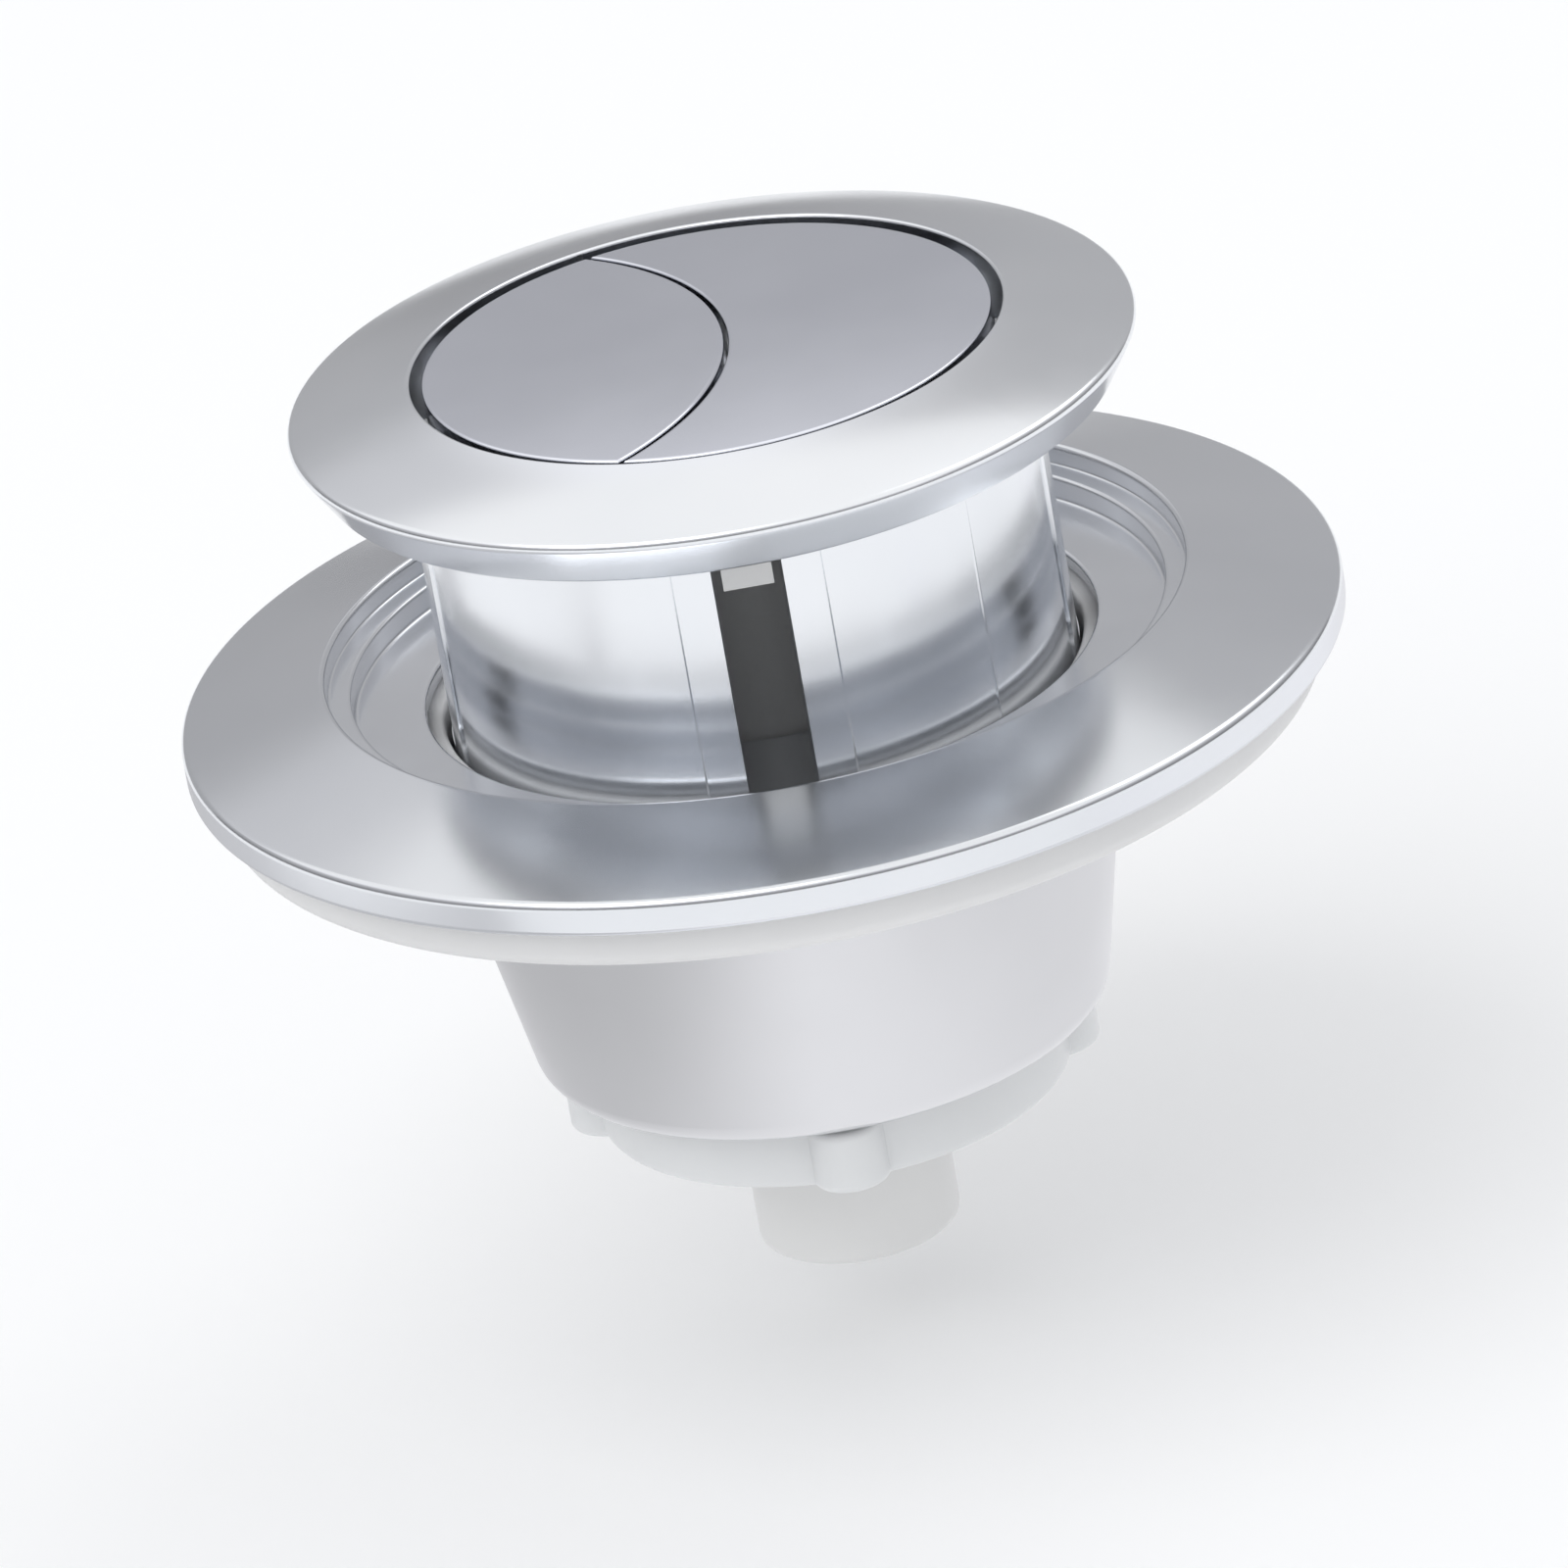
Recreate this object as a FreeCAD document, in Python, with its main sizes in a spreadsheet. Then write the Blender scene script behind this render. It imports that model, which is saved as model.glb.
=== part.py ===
import FreeCAD, Part
import math
import os
import types

import Sketcher

# Dual flush push button for a cistern lid. A flanged barrel with a hollow threaded stem drops
# through the lid. Two caps ride in the barrel on carriers that are hooked into its slots, and each
# pushes a rod down through the stem. Below the flange, an adapter ring, a seat ring, a stem block
# and a clamp cup are threaded over the stem and held up by a lug nut.
# Levels are counted up from the tip of the push rods. The parts are then lowered, so that the
# origin is on the axis in the plane of the flange's underside. +Z is up, the small cap is at -X.

SIZES = {
    # flange and barrel
    "flange_overhang": 1.8,
    "flange_foot_width": 1.5,
    "flange_side": 2.9,
    "flange_rise": 2.0,
    "flange_dome": 48.0,
    "flange_collar": 1.6,
    "flange_recess_width": 1.8,
    "flange_recess_depth": 1.9,
    "lip_rounding": 0.35,
    "barrel_radius": 19.0,
    "barrel_wall": 1.2,
    "barrel_length": 20.7,
    "barrel_chamfer": 0.8,
    "barrel_floor": 2.0,
    "pad_rise": 0.15,
    "pad_angle": 27.2,
    "slot_width": 4.2,
    "slot_foot": 3.1,
    # threaded stem, with its plain end
    "thread_radius": 8.0,
    "pilot_wall": 0.7,
    "stem_length": 21.2,
    "thread_depth": 0.9,
    "pilot_length": 3.0,
    # caps
    "cap_gap": 0.7,
    "cap_sink": 0.1,
    "cap_height": 2.6,
    "cap_top": 1.2,
    "cap_wall": 1.2,
    "cap_rounding": 0.35,
    "split_offset": 19.9,
    "split_radius": 21.1,
    "split_gap": 0.3,
    # carriers, hooks and travel
    "press_travel": 6.0,
    "carrier_thickness": 1.6,
    "carrier_play": 0.15,
    "hook_side_play": 0.6,
    "hook_height": 3.4,
    "hook_play": 0.1,
    "hook_sink": 0.2,
    "leg_thickness": 1.2,
    "leg_play": 0.4,
    "arm_inner": 13.0,
    "arm_thickness": 1.5,
    # push rods
    "plunger_play": 0.25,
    "plunger_wall": 2.95,
    "plunger_reach": 9.2,
    "half_rod_play": 0.45,
    "rod_step_play": 0.6,
    "rod_flat_play": 0.5,
    # return springs
    "spring_gap": 0.7,
    "spring_radius": 2.5,
    "wire_radius": 0.35,
    "spring_pitch": 3.0,
    "spring_play": 0.1,
    "spring_peg": 1.7,
    "spring_peg_height": 2.0,
    # clamp cup
    "cup_throat_play": 0.6,
    "cup_rim_width": 1.15,
    "cup_taper": 3.85,
    "cup_bead_height": 0.4,
    "cup_bead_width": 0.45,
    "cup_throat_depth": 3.6,
    "cup_well_inset": 0.45,
    "cup_floor": 2.0,
    "cup_floor_depth": 15.0,
    "cup_foot_width": 3.35,
    "cup_recess_depth": 2.8,
    "cup_rounding": 1.5,
    "barrel_insertion": 0.2,
    "stem_clearance": 0.2,
    # stem block
    "block_wall": 1.15,
    "block_height": 6.9,
    "block_rounding": 1.3,
    "block_mouth": 0.4,
    # seat ring
    "seat_rim_play": 0.5,
    "seat_hole_play": 0.3,
    "seat_land_width": 4.9,
    "seat_land_height": 3.5,
    "seat_groove_height": 2.8,
    "seat_groove_slope": 0.6,
    "seat_rim_width": 4.9,
    "seat_rim_height": 4.6,
    "seat_outer_rounding": 1.8,
    "seat_inner_rounding": 1.5,
    # adapter ring
    "adapter_band": 9.1,
    "adapter_side": 2.05,
    "adapter_rise": 2.4,
    "adapter_step_width": 1.4,
    "adapter_step_play": 0.7,
    "adapter_step_depth": 1.4,
    "adapter_ledge_depth": 2.9,
    "adapter_ledge_thickness": 1.0,
    "adapter_hole_play": 1.3,
    "adapter_wall": 1.2,
    "adapter_rounding": 0.4,
    # lug nut
    "nut_play": 0.1,
    "nut_flange_play": 0.4,
    "nut_flange_width": 1.55,
    "nut_flange_height": 3.9,
    "nut_wall_play": 1.15,
    "nut_wall": 1.05,
    "nut_hub_wall": 1.7,
    "nut_channel_floor": 1.6,
    "lug_length": 1.8,
    "lug_width": 4.5,
}

doc = FreeCAD.newDocument("cistern_push_button")
sheet = doc.addObject("Spreadsheet::Sheet", "sizes")
for row, (alias, number) in enumerate(SIZES.items(), 1):
    sheet.set(f"A{row}", alias.replace("_", " "))
    sheet.set(f"B{row}", str(number))
    sheet.setAlias(f"B{row}", alias)
doc.recompute()


class Size:
    """A length as its number, with the formula that ties it to the sheet."""

    def __init__(self, number, formula):
        self.number = number
        self.formula = formula

    def __add__(self, other):
        other = as_size(other)
        return Size(self.number + other.number, f"({self.formula} + {other.formula})")

    def __sub__(self, other):
        other = as_size(other)
        return Size(self.number - other.number, f"({self.formula} - {other.formula})")

    def __mul__(self, factor):
        return Size(self.number * factor, f"({self.formula} * {factor})")

    def __neg__(self):
        return Size(-self.number, f"(0 - {self.formula})")


def as_size(value):
    """A plain number as a Size; a Size stays as it is."""
    return value if isinstance(value, Size) else Size(float(value), f"{float(value)}")


s = types.SimpleNamespace(**{alias: Size(number, f"sizes.{alias}") for alias, number in SIZES.items()})

# Levels of the housing, up from the rod tips.
PILOT_BASE = s.plunger_reach
THREAD_BASE = PILOT_BASE + s.pilot_length
BARREL_BASE = THREAD_BASE + s.stem_length
FLOOR_TOP = BARREL_BASE + s.barrel_floor
FLANGE_BASE = BARREL_BASE + s.barrel_length
FLANGE_EDGE = FLANGE_BASE + s.flange_side
FLANGE_TOP = FLANGE_EDGE + s.flange_rise
SLOT_BASE = BARREL_BASE + s.slot_foot

# Radii of the housing: its barrel, the foot and edge of its flange, and its stem.
BARREL_BORE = s.barrel_radius - s.barrel_wall
RECESS_INNER = s.barrel_radius + s.flange_collar
RECESS_OUTER = RECESS_INNER + s.flange_recess_width
FLANGE_FOOT = RECESS_OUTER + s.flange_foot_width
FLANGE_RADIUS = FLANGE_FOOT + s.flange_overhang
PILOT_RADIUS = s.thread_radius - s.thread_depth
STEM_BORE = PILOT_RADIUS - s.pilot_wall

# Levels and radii of the caps, carriers and rods.
CAP_RADIUS = BARREL_BORE - s.cap_gap
CAP_TOP = FLANGE_TOP - s.cap_sink
CAP_BASE = CAP_TOP - s.cap_height
CARRIER_TOP = CAP_TOP - s.cap_top
CARRIER_BASE = CARRIER_TOP - s.carrier_thickness
CARRIER_TRIM = s.cap_wall + s.carrier_play
ROD_STEP = CARRIER_BASE - s.press_travel - s.rod_step_play
HOOK_WIDTH = s.slot_width - s.hook_side_play * 2
PLUNGER_RADIUS = STEM_BORE - s.plunger_play
PLUNGER_BORE = PLUNGER_RADIUS - s.plunger_wall
HALF_ROD_RADIUS = PLUNGER_BORE - s.half_rod_play
SPRING_PLACE = PLUNGER_RADIUS + s.spring_gap + s.wire_radius + s.spring_radius

# Levels of the clamping parts, which stack down from the barrel's end.
CUP_RIM = BARREL_BASE + s.barrel_insertion
CUP_LAND = CUP_RIM - s.cup_bead_height
CUP_FLOOR_TOP = CUP_RIM - s.cup_floor_depth
CUP_FLOOR_BASE = CUP_FLOOR_TOP - s.cup_floor
CUP_BASE = CUP_FLOOR_BASE - s.cup_recess_depth
SEAT_BASE = CUP_RIM
ADAPTER_LEDGE_BASE = SEAT_BASE + s.seat_land_height
ADAPTER_TOP = ADAPTER_LEDGE_BASE + s.adapter_ledge_thickness + s.adapter_ledge_depth
ADAPTER_EDGE = ADAPTER_TOP - s.adapter_rise
ADAPTER_BASE = ADAPTER_EDGE - s.adapter_side
NUT_TOP = CUP_FLOOR_BASE - s.nut_play
NUT_FLANGE_TOP = CUP_BASE - s.nut_flange_play
NUT_BASE = NUT_FLANGE_TOP - s.nut_flange_height

# Radii of the clamping parts, which follow the barrel, the flange and the thread.
STEM_HOLE = s.thread_radius + s.stem_clearance
ADAPTER_HOLE = s.barrel_radius + s.adapter_hole_play
ADAPTER_STEP = FLANGE_FOOT + s.adapter_step_play
ADAPTER_OPENING = ADAPTER_STEP + s.adapter_step_width
ADAPTER_RADIUS = ADAPTER_OPENING + s.adapter_band
SEAT_RADIUS = ADAPTER_RADIUS - s.adapter_wall - s.seat_rim_play
SEAT_HOLE = s.barrel_radius + s.seat_hole_play
SEAT_LAND = SEAT_HOLE + s.seat_land_width
BLOCK_SIDE = (STEM_HOLE + s.block_wall) * 2
CUP_THROAT = s.barrel_radius + s.cup_throat_play
CUP_BEAD = CUP_THROAT + s.cup_bead_width
CUP_RADIUS = CUP_BEAD + s.cup_rim_width
CUP_FOOT = CUP_RADIUS - s.cup_taper
CUP_WELL = CUP_FOOT - s.cup_well_inset
CUP_RECESS = CUP_FOOT - s.cup_foot_width
NUT_HUB = STEM_HOLE + s.nut_hub_wall
NUT_WALL_RADIUS = CUP_RECESS - s.nut_wall_play
NUT_FLANGE_RADIUS = NUT_WALL_RADIUS + s.nut_flange_width
LUG_REACH = NUT_FLANGE_RADIUS + s.lug_length

# How far the slots' cutting boxes run past both faces of the wall, and a floor peg into the floor.
OVERSHOOT = 1.0
PEG_ROOT = 0.5


def bind(thing, **values):
    """Ties properties of an object to the sheet."""
    for name, value in values.items():
        thing.setExpression(name, as_size(value).formula)


def place(thing, across=0, deep=0, up=0):
    """Ties an object's position to the sheet."""
    for axis, value in (("x", across), ("y", deep), ("z", up)):
        thing.setExpression(f"Placement.Base.{axis}", as_size(value).formula)


def cylinder(name, radius, base, height, across=0, deep=0):
    solid = doc.addObject("Part::Cylinder", name)
    bind(solid, Radius=radius, Height=height)
    place(solid, across, deep, base)
    return solid


def radial_box(name, quarter, inner, outer, width, base, height):
    """A box that runs outwards from the axis along +X, +Y, -X or -Y for quarter 0 to 3."""
    solid = doc.addObject("Part::Box", name)
    reach = as_size(outer) - inner
    half = as_size(width) * 0.5
    low = as_size(inner) if quarter in (0, 1) else -as_size(outer)
    if quarter in (0, 2):
        bind(solid, Length=reach, Width=width, Height=height)
        place(solid, low, -half, base)
    else:
        bind(solid, Length=width, Width=reach, Height=height)
        place(solid, -half, low, base)
    return solid


def fuse(name, shapes):
    result = doc.addObject("Part::MultiFuse", name)
    result.Shapes = shapes
    return result


def cut(name, base, tool):
    result = doc.addObject("Part::Cut", name)
    result.Base = base
    result.Tool = tool
    return result


def plane(body, role):
    return next(feature for feature in body.Origin.OriginFeatures if feature.Role == role)


def new_sketch(body, name, role):
    sketch = body.newObject("Sketcher::SketchObject", name)
    sketch.AttachmentSupport = (plane(body, role), [""])
    sketch.MapMode = "FlatFace"
    return sketch


def fix_value(sketch, *constraint, value):
    """Adds a dimension and ties it to the sheet."""
    kind, *places = constraint
    index = sketch.addConstraint(Sketcher.Constraint(kind, *places, value.number))
    sketch.setExpression(f"Constraints[{index}]", value.formula)


def crown(first, last, radius):
    """The arc from first to last that bulges to the right of that direction."""
    chord = last - first
    right = FreeCAD.Vector(chord.y, -chord.x, 0).normalize()
    sag = radius - math.sqrt(radius**2 - (chord.Length / 2) ** 2)
    return Part.Arc(first, (first + last) * 0.5 + right * sag, last)


def section(body, name, corners):
    """Draws a closed half section. A corner is (radius, level), with the radius of the arc that
    leads on from it as an optional third size."""
    sketch = new_sketch(body, name, "XZ_Plane")
    corners = [[as_size(value) for value in corner] for corner in corners]
    points = [FreeCAD.Vector(corner[0].number, corner[1].number, 0) for corner in corners]
    ends = []
    for index, corner in enumerate(corners):
        first, last = points[index], points[(index + 1) % len(points)]
        if len(corner) == 2:
            sketch.addGeometry(Part.LineSegment(first, last), False)
            ends.append((1, 2))
        else:
            arc = sketch.addGeometry(crown(first, last, corner[2].number), False)
            forward = sketch.Geometry[arc].StartPoint.distanceToPoint(first) < 1e-6
            ends.append((1, 2) if forward else (2, 1))
    for index, corner in enumerate(corners):
        following = (index + 1) % len(corners)
        sketch.addConstraint(
            Sketcher.Constraint("Coincident", index, ends[index][1], following, ends[following][0])
        )
        fix_value(sketch, "DistanceX", -1, 1, index, ends[index][0], value=corner[0])
        fix_value(sketch, "DistanceY", -1, 1, index, ends[index][0], value=corner[1])
        if len(corner) == 3:
            fix_value(sketch, "Radius", index, value=corner[2])
    return sketch


def turned(name, corners):
    """A body turned about the axis from its half section."""
    body = doc.addObject("PartDesign::Body", name)
    sketch = section(body, f"{name}_section", corners)
    turn = body.newObject("PartDesign::Revolution", f"{name}_turn")
    turn.Profile = sketch
    turn.ReferenceAxis = (sketch, ["V_Axis"])
    turn.Angle = 360
    sketch.Visibility = False
    doc.recompute()
    return body


def round_edges(body, name, chosen, radius):
    """Rounds the edges of the body's last feature that the test picks out."""
    base = body.Tip
    names = [f"Edge{n}" for n, edge in enumerate(base.Shape.Edges, 1) if chosen(edge)]
    rounding = body.newObject("PartDesign::Fillet", name)
    rounding.Base = (base, names)
    bind(rounding, Radius=radius)
    doc.recompute()


def on_ring(radius, level):
    """A test for the full circle of that radius at that level."""
    def chosen(edge):
        curve = edge.Curve
        if not isinstance(curve, Part.Circle):
            return False
        return abs(curve.Radius - radius.number) < 1e-4 and abs(curve.Center.z - level.number) < 1e-4
    return chosen


def at_level(level):
    """A test for edges that lie flat at that level."""
    def chosen(edge):
        return all(abs(vertex.Z - level.number) < 1e-4 for vertex in edge.Vertexes)
    return chosen


def turned_about(solid, angle):
    """Turns a solid about the Z axis by an angle that is tied to the sheet."""
    solid.Placement.Rotation = FreeCAD.Rotation(FreeCAD.Vector(0, 0, 1), angle.number)
    solid.setExpression("Placement.Rotation.Angle", angle.formula)


def make_housing():
    """Flange, barrel and hollow stem in one moulding, with four slotted pads round the barrel."""
    wall_radius = s.barrel_radius - s.pad_rise
    chamfer_top = BARREL_BASE + s.barrel_chamfer
    recess_top = FLANGE_BASE + s.flange_recess_depth
    thread_lead = THREAD_BASE + (s.thread_radius - PILOT_RADIUS)
    outside = turned("housing_outside", [
        (0, PILOT_BASE),
        (PILOT_RADIUS, PILOT_BASE),
        (PILOT_RADIUS, THREAD_BASE),
        (s.thread_radius, thread_lead),
        (s.thread_radius, BARREL_BASE),
        (wall_radius - s.barrel_chamfer, BARREL_BASE),
        (wall_radius, chamfer_top),
        (wall_radius, FLANGE_BASE),
        (RECESS_INNER, FLANGE_BASE),
        (RECESS_INNER, recess_top),
        (RECESS_OUTER, recess_top),
        (RECESS_OUTER, FLANGE_BASE),
        (FLANGE_FOOT, FLANGE_BASE),
        (FLANGE_RADIUS, FLANGE_EDGE, s.flange_dome),
        (BARREL_BORE, FLANGE_TOP),
        (0, FLANGE_TOP),
    ])
    pads = []
    for quarter in range(4):
        pad = cylinder(f"pad_{quarter}", s.barrel_radius, chamfer_top, FLANGE_BASE - chamfer_top)
        bind(pad, Angle=s.pad_angle)
        turned_about(pad, as_size(90 * quarter) - s.pad_angle * 0.5)
        pads.append(pad)
    hollow = turned("housing_hollow", [
        (0, PILOT_BASE),
        (STEM_BORE, PILOT_BASE),
        (STEM_BORE, FLOOR_TOP),
        (BARREL_BORE, FLOOR_TOP),
        (BARREL_BORE, FLANGE_TOP - s.lip_rounding),
        (BARREL_BORE + s.lip_rounding, FLANGE_TOP),
        (0, FLANGE_TOP),
    ])
    slots = [
        radial_box(f"slot_{quarter}", quarter, BARREL_BORE - OVERSHOOT, s.barrel_radius + OVERSHOOT,
                   s.slot_width, SLOT_BASE, FLANGE_BASE - SLOT_BASE)
        for quarter in range(4)
    ]
    solid = fuse("housing_solid", [outside, *pads])
    shell = cut("housing_shell", solid, fuse("housing_voids", [hollow, *slots]))
    pegs = [
        cylinder(f"floor_peg_{index}", s.spring_peg, FLOOR_TOP - PEG_ROOT, s.spring_peg_height + PEG_ROOT,
                 place_x)
        for index, place_x in enumerate((SPRING_PLACE, -SPRING_PLACE))
    ]
    return fuse("housing_moulding", [shell, *pegs])


def cap_outline(body, name, full, trim, level):
    """Draws a cap's outline, drawn in by trim. The caps are the two sides of one disc, split by a
    circle whose centre lies towards -X: the full flush cap is outside it, the half one inside."""
    sketch = new_sketch(body, name, "XY_Plane")
    sketch.setExpression("AttachmentOffset.Base.z", level.formula)
    trim = as_size(trim)
    half_gap = s.split_gap * 0.5
    disc = CAP_RADIUS - trim
    split = s.split_radius + half_gap + trim if full else s.split_radius - half_gap - trim
    offset = s.split_offset.number
    corner_x = (split.number**2 - disc.number**2 - offset**2) / (2 * offset)
    corner_y = math.sqrt(disc.number**2 - corner_x**2)
    disc_angle = math.atan2(corner_y, corner_x)
    split_angle = math.atan2(corner_y, corner_x + offset)
    centre = FreeCAD.Vector(0, 0, 0)
    up = FreeCAD.Vector(0, 0, 1)
    disc_circle = Part.Circle(centre, up, disc.number)
    split_circle = Part.Circle(FreeCAD.Vector(-offset, 0, 0), up, split.number)
    if full:
        disc_arc = Part.ArcOfCircle(disc_circle, -disc_angle, disc_angle)
    else:
        disc_arc = Part.ArcOfCircle(disc_circle, disc_angle, 2 * math.pi - disc_angle)
    sketch.addGeometry(disc_arc, False)
    sketch.addGeometry(Part.ArcOfCircle(split_circle, -split_angle, split_angle), False)
    first, second = (1, 2) if full else (2, 1)
    sketch.addConstraint(Sketcher.Constraint("Coincident", 0, first, 1, 1))
    sketch.addConstraint(Sketcher.Constraint("Coincident", 0, second, 1, 2))
    sketch.addConstraint(Sketcher.Constraint("Coincident", 0, 3, -1, 1))
    sketch.addConstraint(Sketcher.Constraint("PointOnObject", 1, 3, -1))
    fix_value(sketch, "DistanceX", -1, 1, 1, 3, value=-s.split_offset)
    fix_value(sketch, "Radius", 0, value=disc)
    fix_value(sketch, "Radius", 1, value=split)
    return sketch


def make_cap(name, full):
    """A cap with a rounded top edge and a skirt that its carrier snaps into."""
    body = doc.addObject("PartDesign::Body", name)
    pad = body.newObject("PartDesign::Pad", f"{name}_disc")
    pad.Profile = cap_outline(body, f"{name}_outline", full, 0, CAP_BASE)
    bind(pad, Length=s.cap_height)
    doc.recompute()
    round_edges(body, f"{name}_edge", at_level(CAP_TOP), s.cap_rounding)
    pocket = body.newObject("PartDesign::Pocket", f"{name}_hollow")
    pocket.Profile = cap_outline(body, f"{name}_inside", full, s.cap_wall, CAP_BASE)
    bind(pocket, Length=s.cap_height - s.cap_top)
    pocket.Reversed = True
    doc.recompute()
    return body


def make_carrier(name, full, quarters, spring_x):
    """The white carrier under a cap: a plate, hooked legs at the slots and a peg for the spring."""
    body = doc.addObject("PartDesign::Body", f"{name}_plate")
    pad = body.newObject("PartDesign::Pad", f"{name}_slab")
    pad.Profile = cap_outline(body, f"{name}_outline", full, CARRIER_TRIM, CARRIER_BASE)
    bind(pad, Length=s.carrier_thickness)
    leg_outer = BARREL_BORE - s.leg_play
    leg_inner = leg_outer - s.leg_thickness
    hook_top = FLANGE_BASE - s.hook_play
    hook_base = hook_top - s.hook_height
    arm_top = CAP_BASE - s.hook_play
    arm_base = CARRIER_BASE - s.arm_thickness
    pieces = [body]
    for quarter in quarters:
        pieces.append(radial_box(f"{name}_arm_{quarter}", quarter, s.arm_inner, leg_outer, HOOK_WIDTH,
                                 arm_base, arm_top - arm_base))
        pieces.append(radial_box(f"{name}_leg_{quarter}", quarter, leg_inner, leg_outer, HOOK_WIDTH,
                                 hook_base, arm_top - hook_base))
        pieces.append(radial_box(f"{name}_hook_{quarter}", quarter, leg_inner, s.barrel_radius - s.hook_sink,
                                 HOOK_WIDTH, hook_base, s.hook_height))
    pieces.append(cylinder(f"{name}_peg", s.spring_peg, CARRIER_BASE - s.spring_peg_height,
                           s.spring_peg_height + s.carrier_thickness * 0.5, spring_x))
    return fuse(f"{name}_moulding", pieces)


def make_full_plunger():
    """A tube that fills the stem. Above the step, only the side under the full flush cap goes on."""
    flat = s.split_radius + s.split_gap * 0.5 + CARRIER_TRIM - s.split_offset
    tube = cylinder("full_plunger_tube", PLUNGER_RADIUS, 0, CARRIER_BASE)
    bore = cylinder("full_plunger_bore", PLUNGER_BORE, 0, CARRIER_BASE)
    away = doc.addObject("Part::Box", "full_plunger_relief")
    bind(away, Length=PLUNGER_RADIUS + flat, Width=PLUNGER_RADIUS * 2, Height=CARRIER_BASE - ROD_STEP)
    place(away, -PLUNGER_RADIUS, -PLUNGER_RADIUS, ROD_STEP)
    return cut("full_plunger_moulding", tube, fuse("full_plunger_voids", [bore, away]))


def make_half_rod():
    """A rod inside the tube. Above the step, it is trimmed back to stay under the half flush cap."""
    flat = s.split_radius - s.split_gap * 0.5 - s.split_offset - s.rod_flat_play
    rod = cylinder("half_rod_bar", HALF_ROD_RADIUS, 0, CARRIER_BASE)
    away = doc.addObject("Part::Box", "half_rod_relief")
    bind(away, Length=HALF_ROD_RADIUS, Width=HALF_ROD_RADIUS * 2, Height=CARRIER_BASE - ROD_STEP)
    place(away, flat, -HALF_ROD_RADIUS, ROD_STEP)
    return cut("half_rod_moulding", rod, away)


def make_spring(name, spring_x):
    """A wire coil between the barrel's floor and a carrier, round the pegs of both."""
    first = FLOOR_TOP + s.wire_radius + s.spring_play
    last = CARRIER_BASE - s.wire_radius - s.spring_play
    path = doc.addObject("Part::Helix", f"{name}_path")
    bind(path, Pitch=s.spring_pitch, Height=last - first, Radius=s.spring_radius)
    place(path, spring_x, 0, first)
    wire = doc.addObject("Part::Circle", f"{name}_wire")
    wire.Placement.Rotation = FreeCAD.Rotation(FreeCAD.Vector(1, 0, 0), 90)
    bind(wire, Radius=s.wire_radius)
    place(wire, spring_x + s.spring_radius, 0, first)
    coil = doc.addObject("Part::Sweep", f"{name}_coil")
    coil.Sections = [wire]
    coil.Spine = (path, [])
    coil.Solid = True
    coil.Frenet = True
    return coil


def make_adapter_ring():
    """A shelled ring with a sloping top, a stepped recess for the flange and a ledge."""
    step_level = ADAPTER_TOP - s.adapter_step_depth
    ledge_top = ADAPTER_TOP - s.adapter_ledge_depth
    inner_side = ADAPTER_STEP + s.adapter_wall
    outer_side = ADAPTER_OPENING + s.adapter_wall
    step_under = step_level - s.adapter_wall
    run = ADAPTER_RADIUS - ADAPTER_OPENING
    fall = Size(s.adapter_rise.number / run.number, f"({s.adapter_rise.formula} / {run.formula})")
    shell_radius = ADAPTER_RADIUS - s.adapter_wall
    inner_drop = Size(s.adapter_wall.number * fall.number, f"({s.adapter_wall.formula} * {fall.formula})")
    body = turned("adapter_ring_body", [
        (ADAPTER_HOLE, ADAPTER_LEDGE_BASE),
        (inner_side, ADAPTER_LEDGE_BASE),
        (inner_side, step_under),
        (outer_side, step_under),
        (outer_side, ADAPTER_TOP - inner_drop - s.adapter_wall),
        (shell_radius, ADAPTER_EDGE + inner_drop - s.adapter_wall),
        (shell_radius, ADAPTER_BASE),
        (ADAPTER_RADIUS, ADAPTER_BASE),
        (ADAPTER_RADIUS, ADAPTER_EDGE),
        (ADAPTER_OPENING, ADAPTER_TOP),
        (ADAPTER_OPENING, step_level),
        (ADAPTER_STEP, step_level),
        (ADAPTER_STEP, ledge_top),
        (ADAPTER_HOLE, ledge_top),
    ])
    round_edges(body, "adapter_ring_edge", on_ring(ADAPTER_RADIUS, ADAPTER_EDGE), s.adapter_rounding)
    return body


def make_seat_ring():
    """A soft ring with a rounded rim, a groove and a flat land round its hole."""
    rim_inner = SEAT_RADIUS - s.seat_rim_width
    rim_top = SEAT_BASE + s.seat_rim_height
    groove_level = SEAT_BASE + s.seat_groove_height
    body = turned("seat_ring_body", [
        (SEAT_HOLE, SEAT_BASE),
        (SEAT_RADIUS, SEAT_BASE),
        (SEAT_RADIUS, rim_top),
        (rim_inner, rim_top),
        (rim_inner, groove_level),
        (SEAT_LAND + s.seat_groove_slope, groove_level),
        (SEAT_LAND, SEAT_BASE + s.seat_land_height),
        (SEAT_HOLE, SEAT_BASE + s.seat_land_height),
    ])
    edges = (("outer", SEAT_RADIUS, s.seat_outer_rounding), ("inner", rim_inner, s.seat_inner_rounding))
    for side, radius, rounding in edges:
        round_edges(body, f"seat_ring_{side}_edge", on_ring(radius, rim_top), rounding)
    return body


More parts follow.
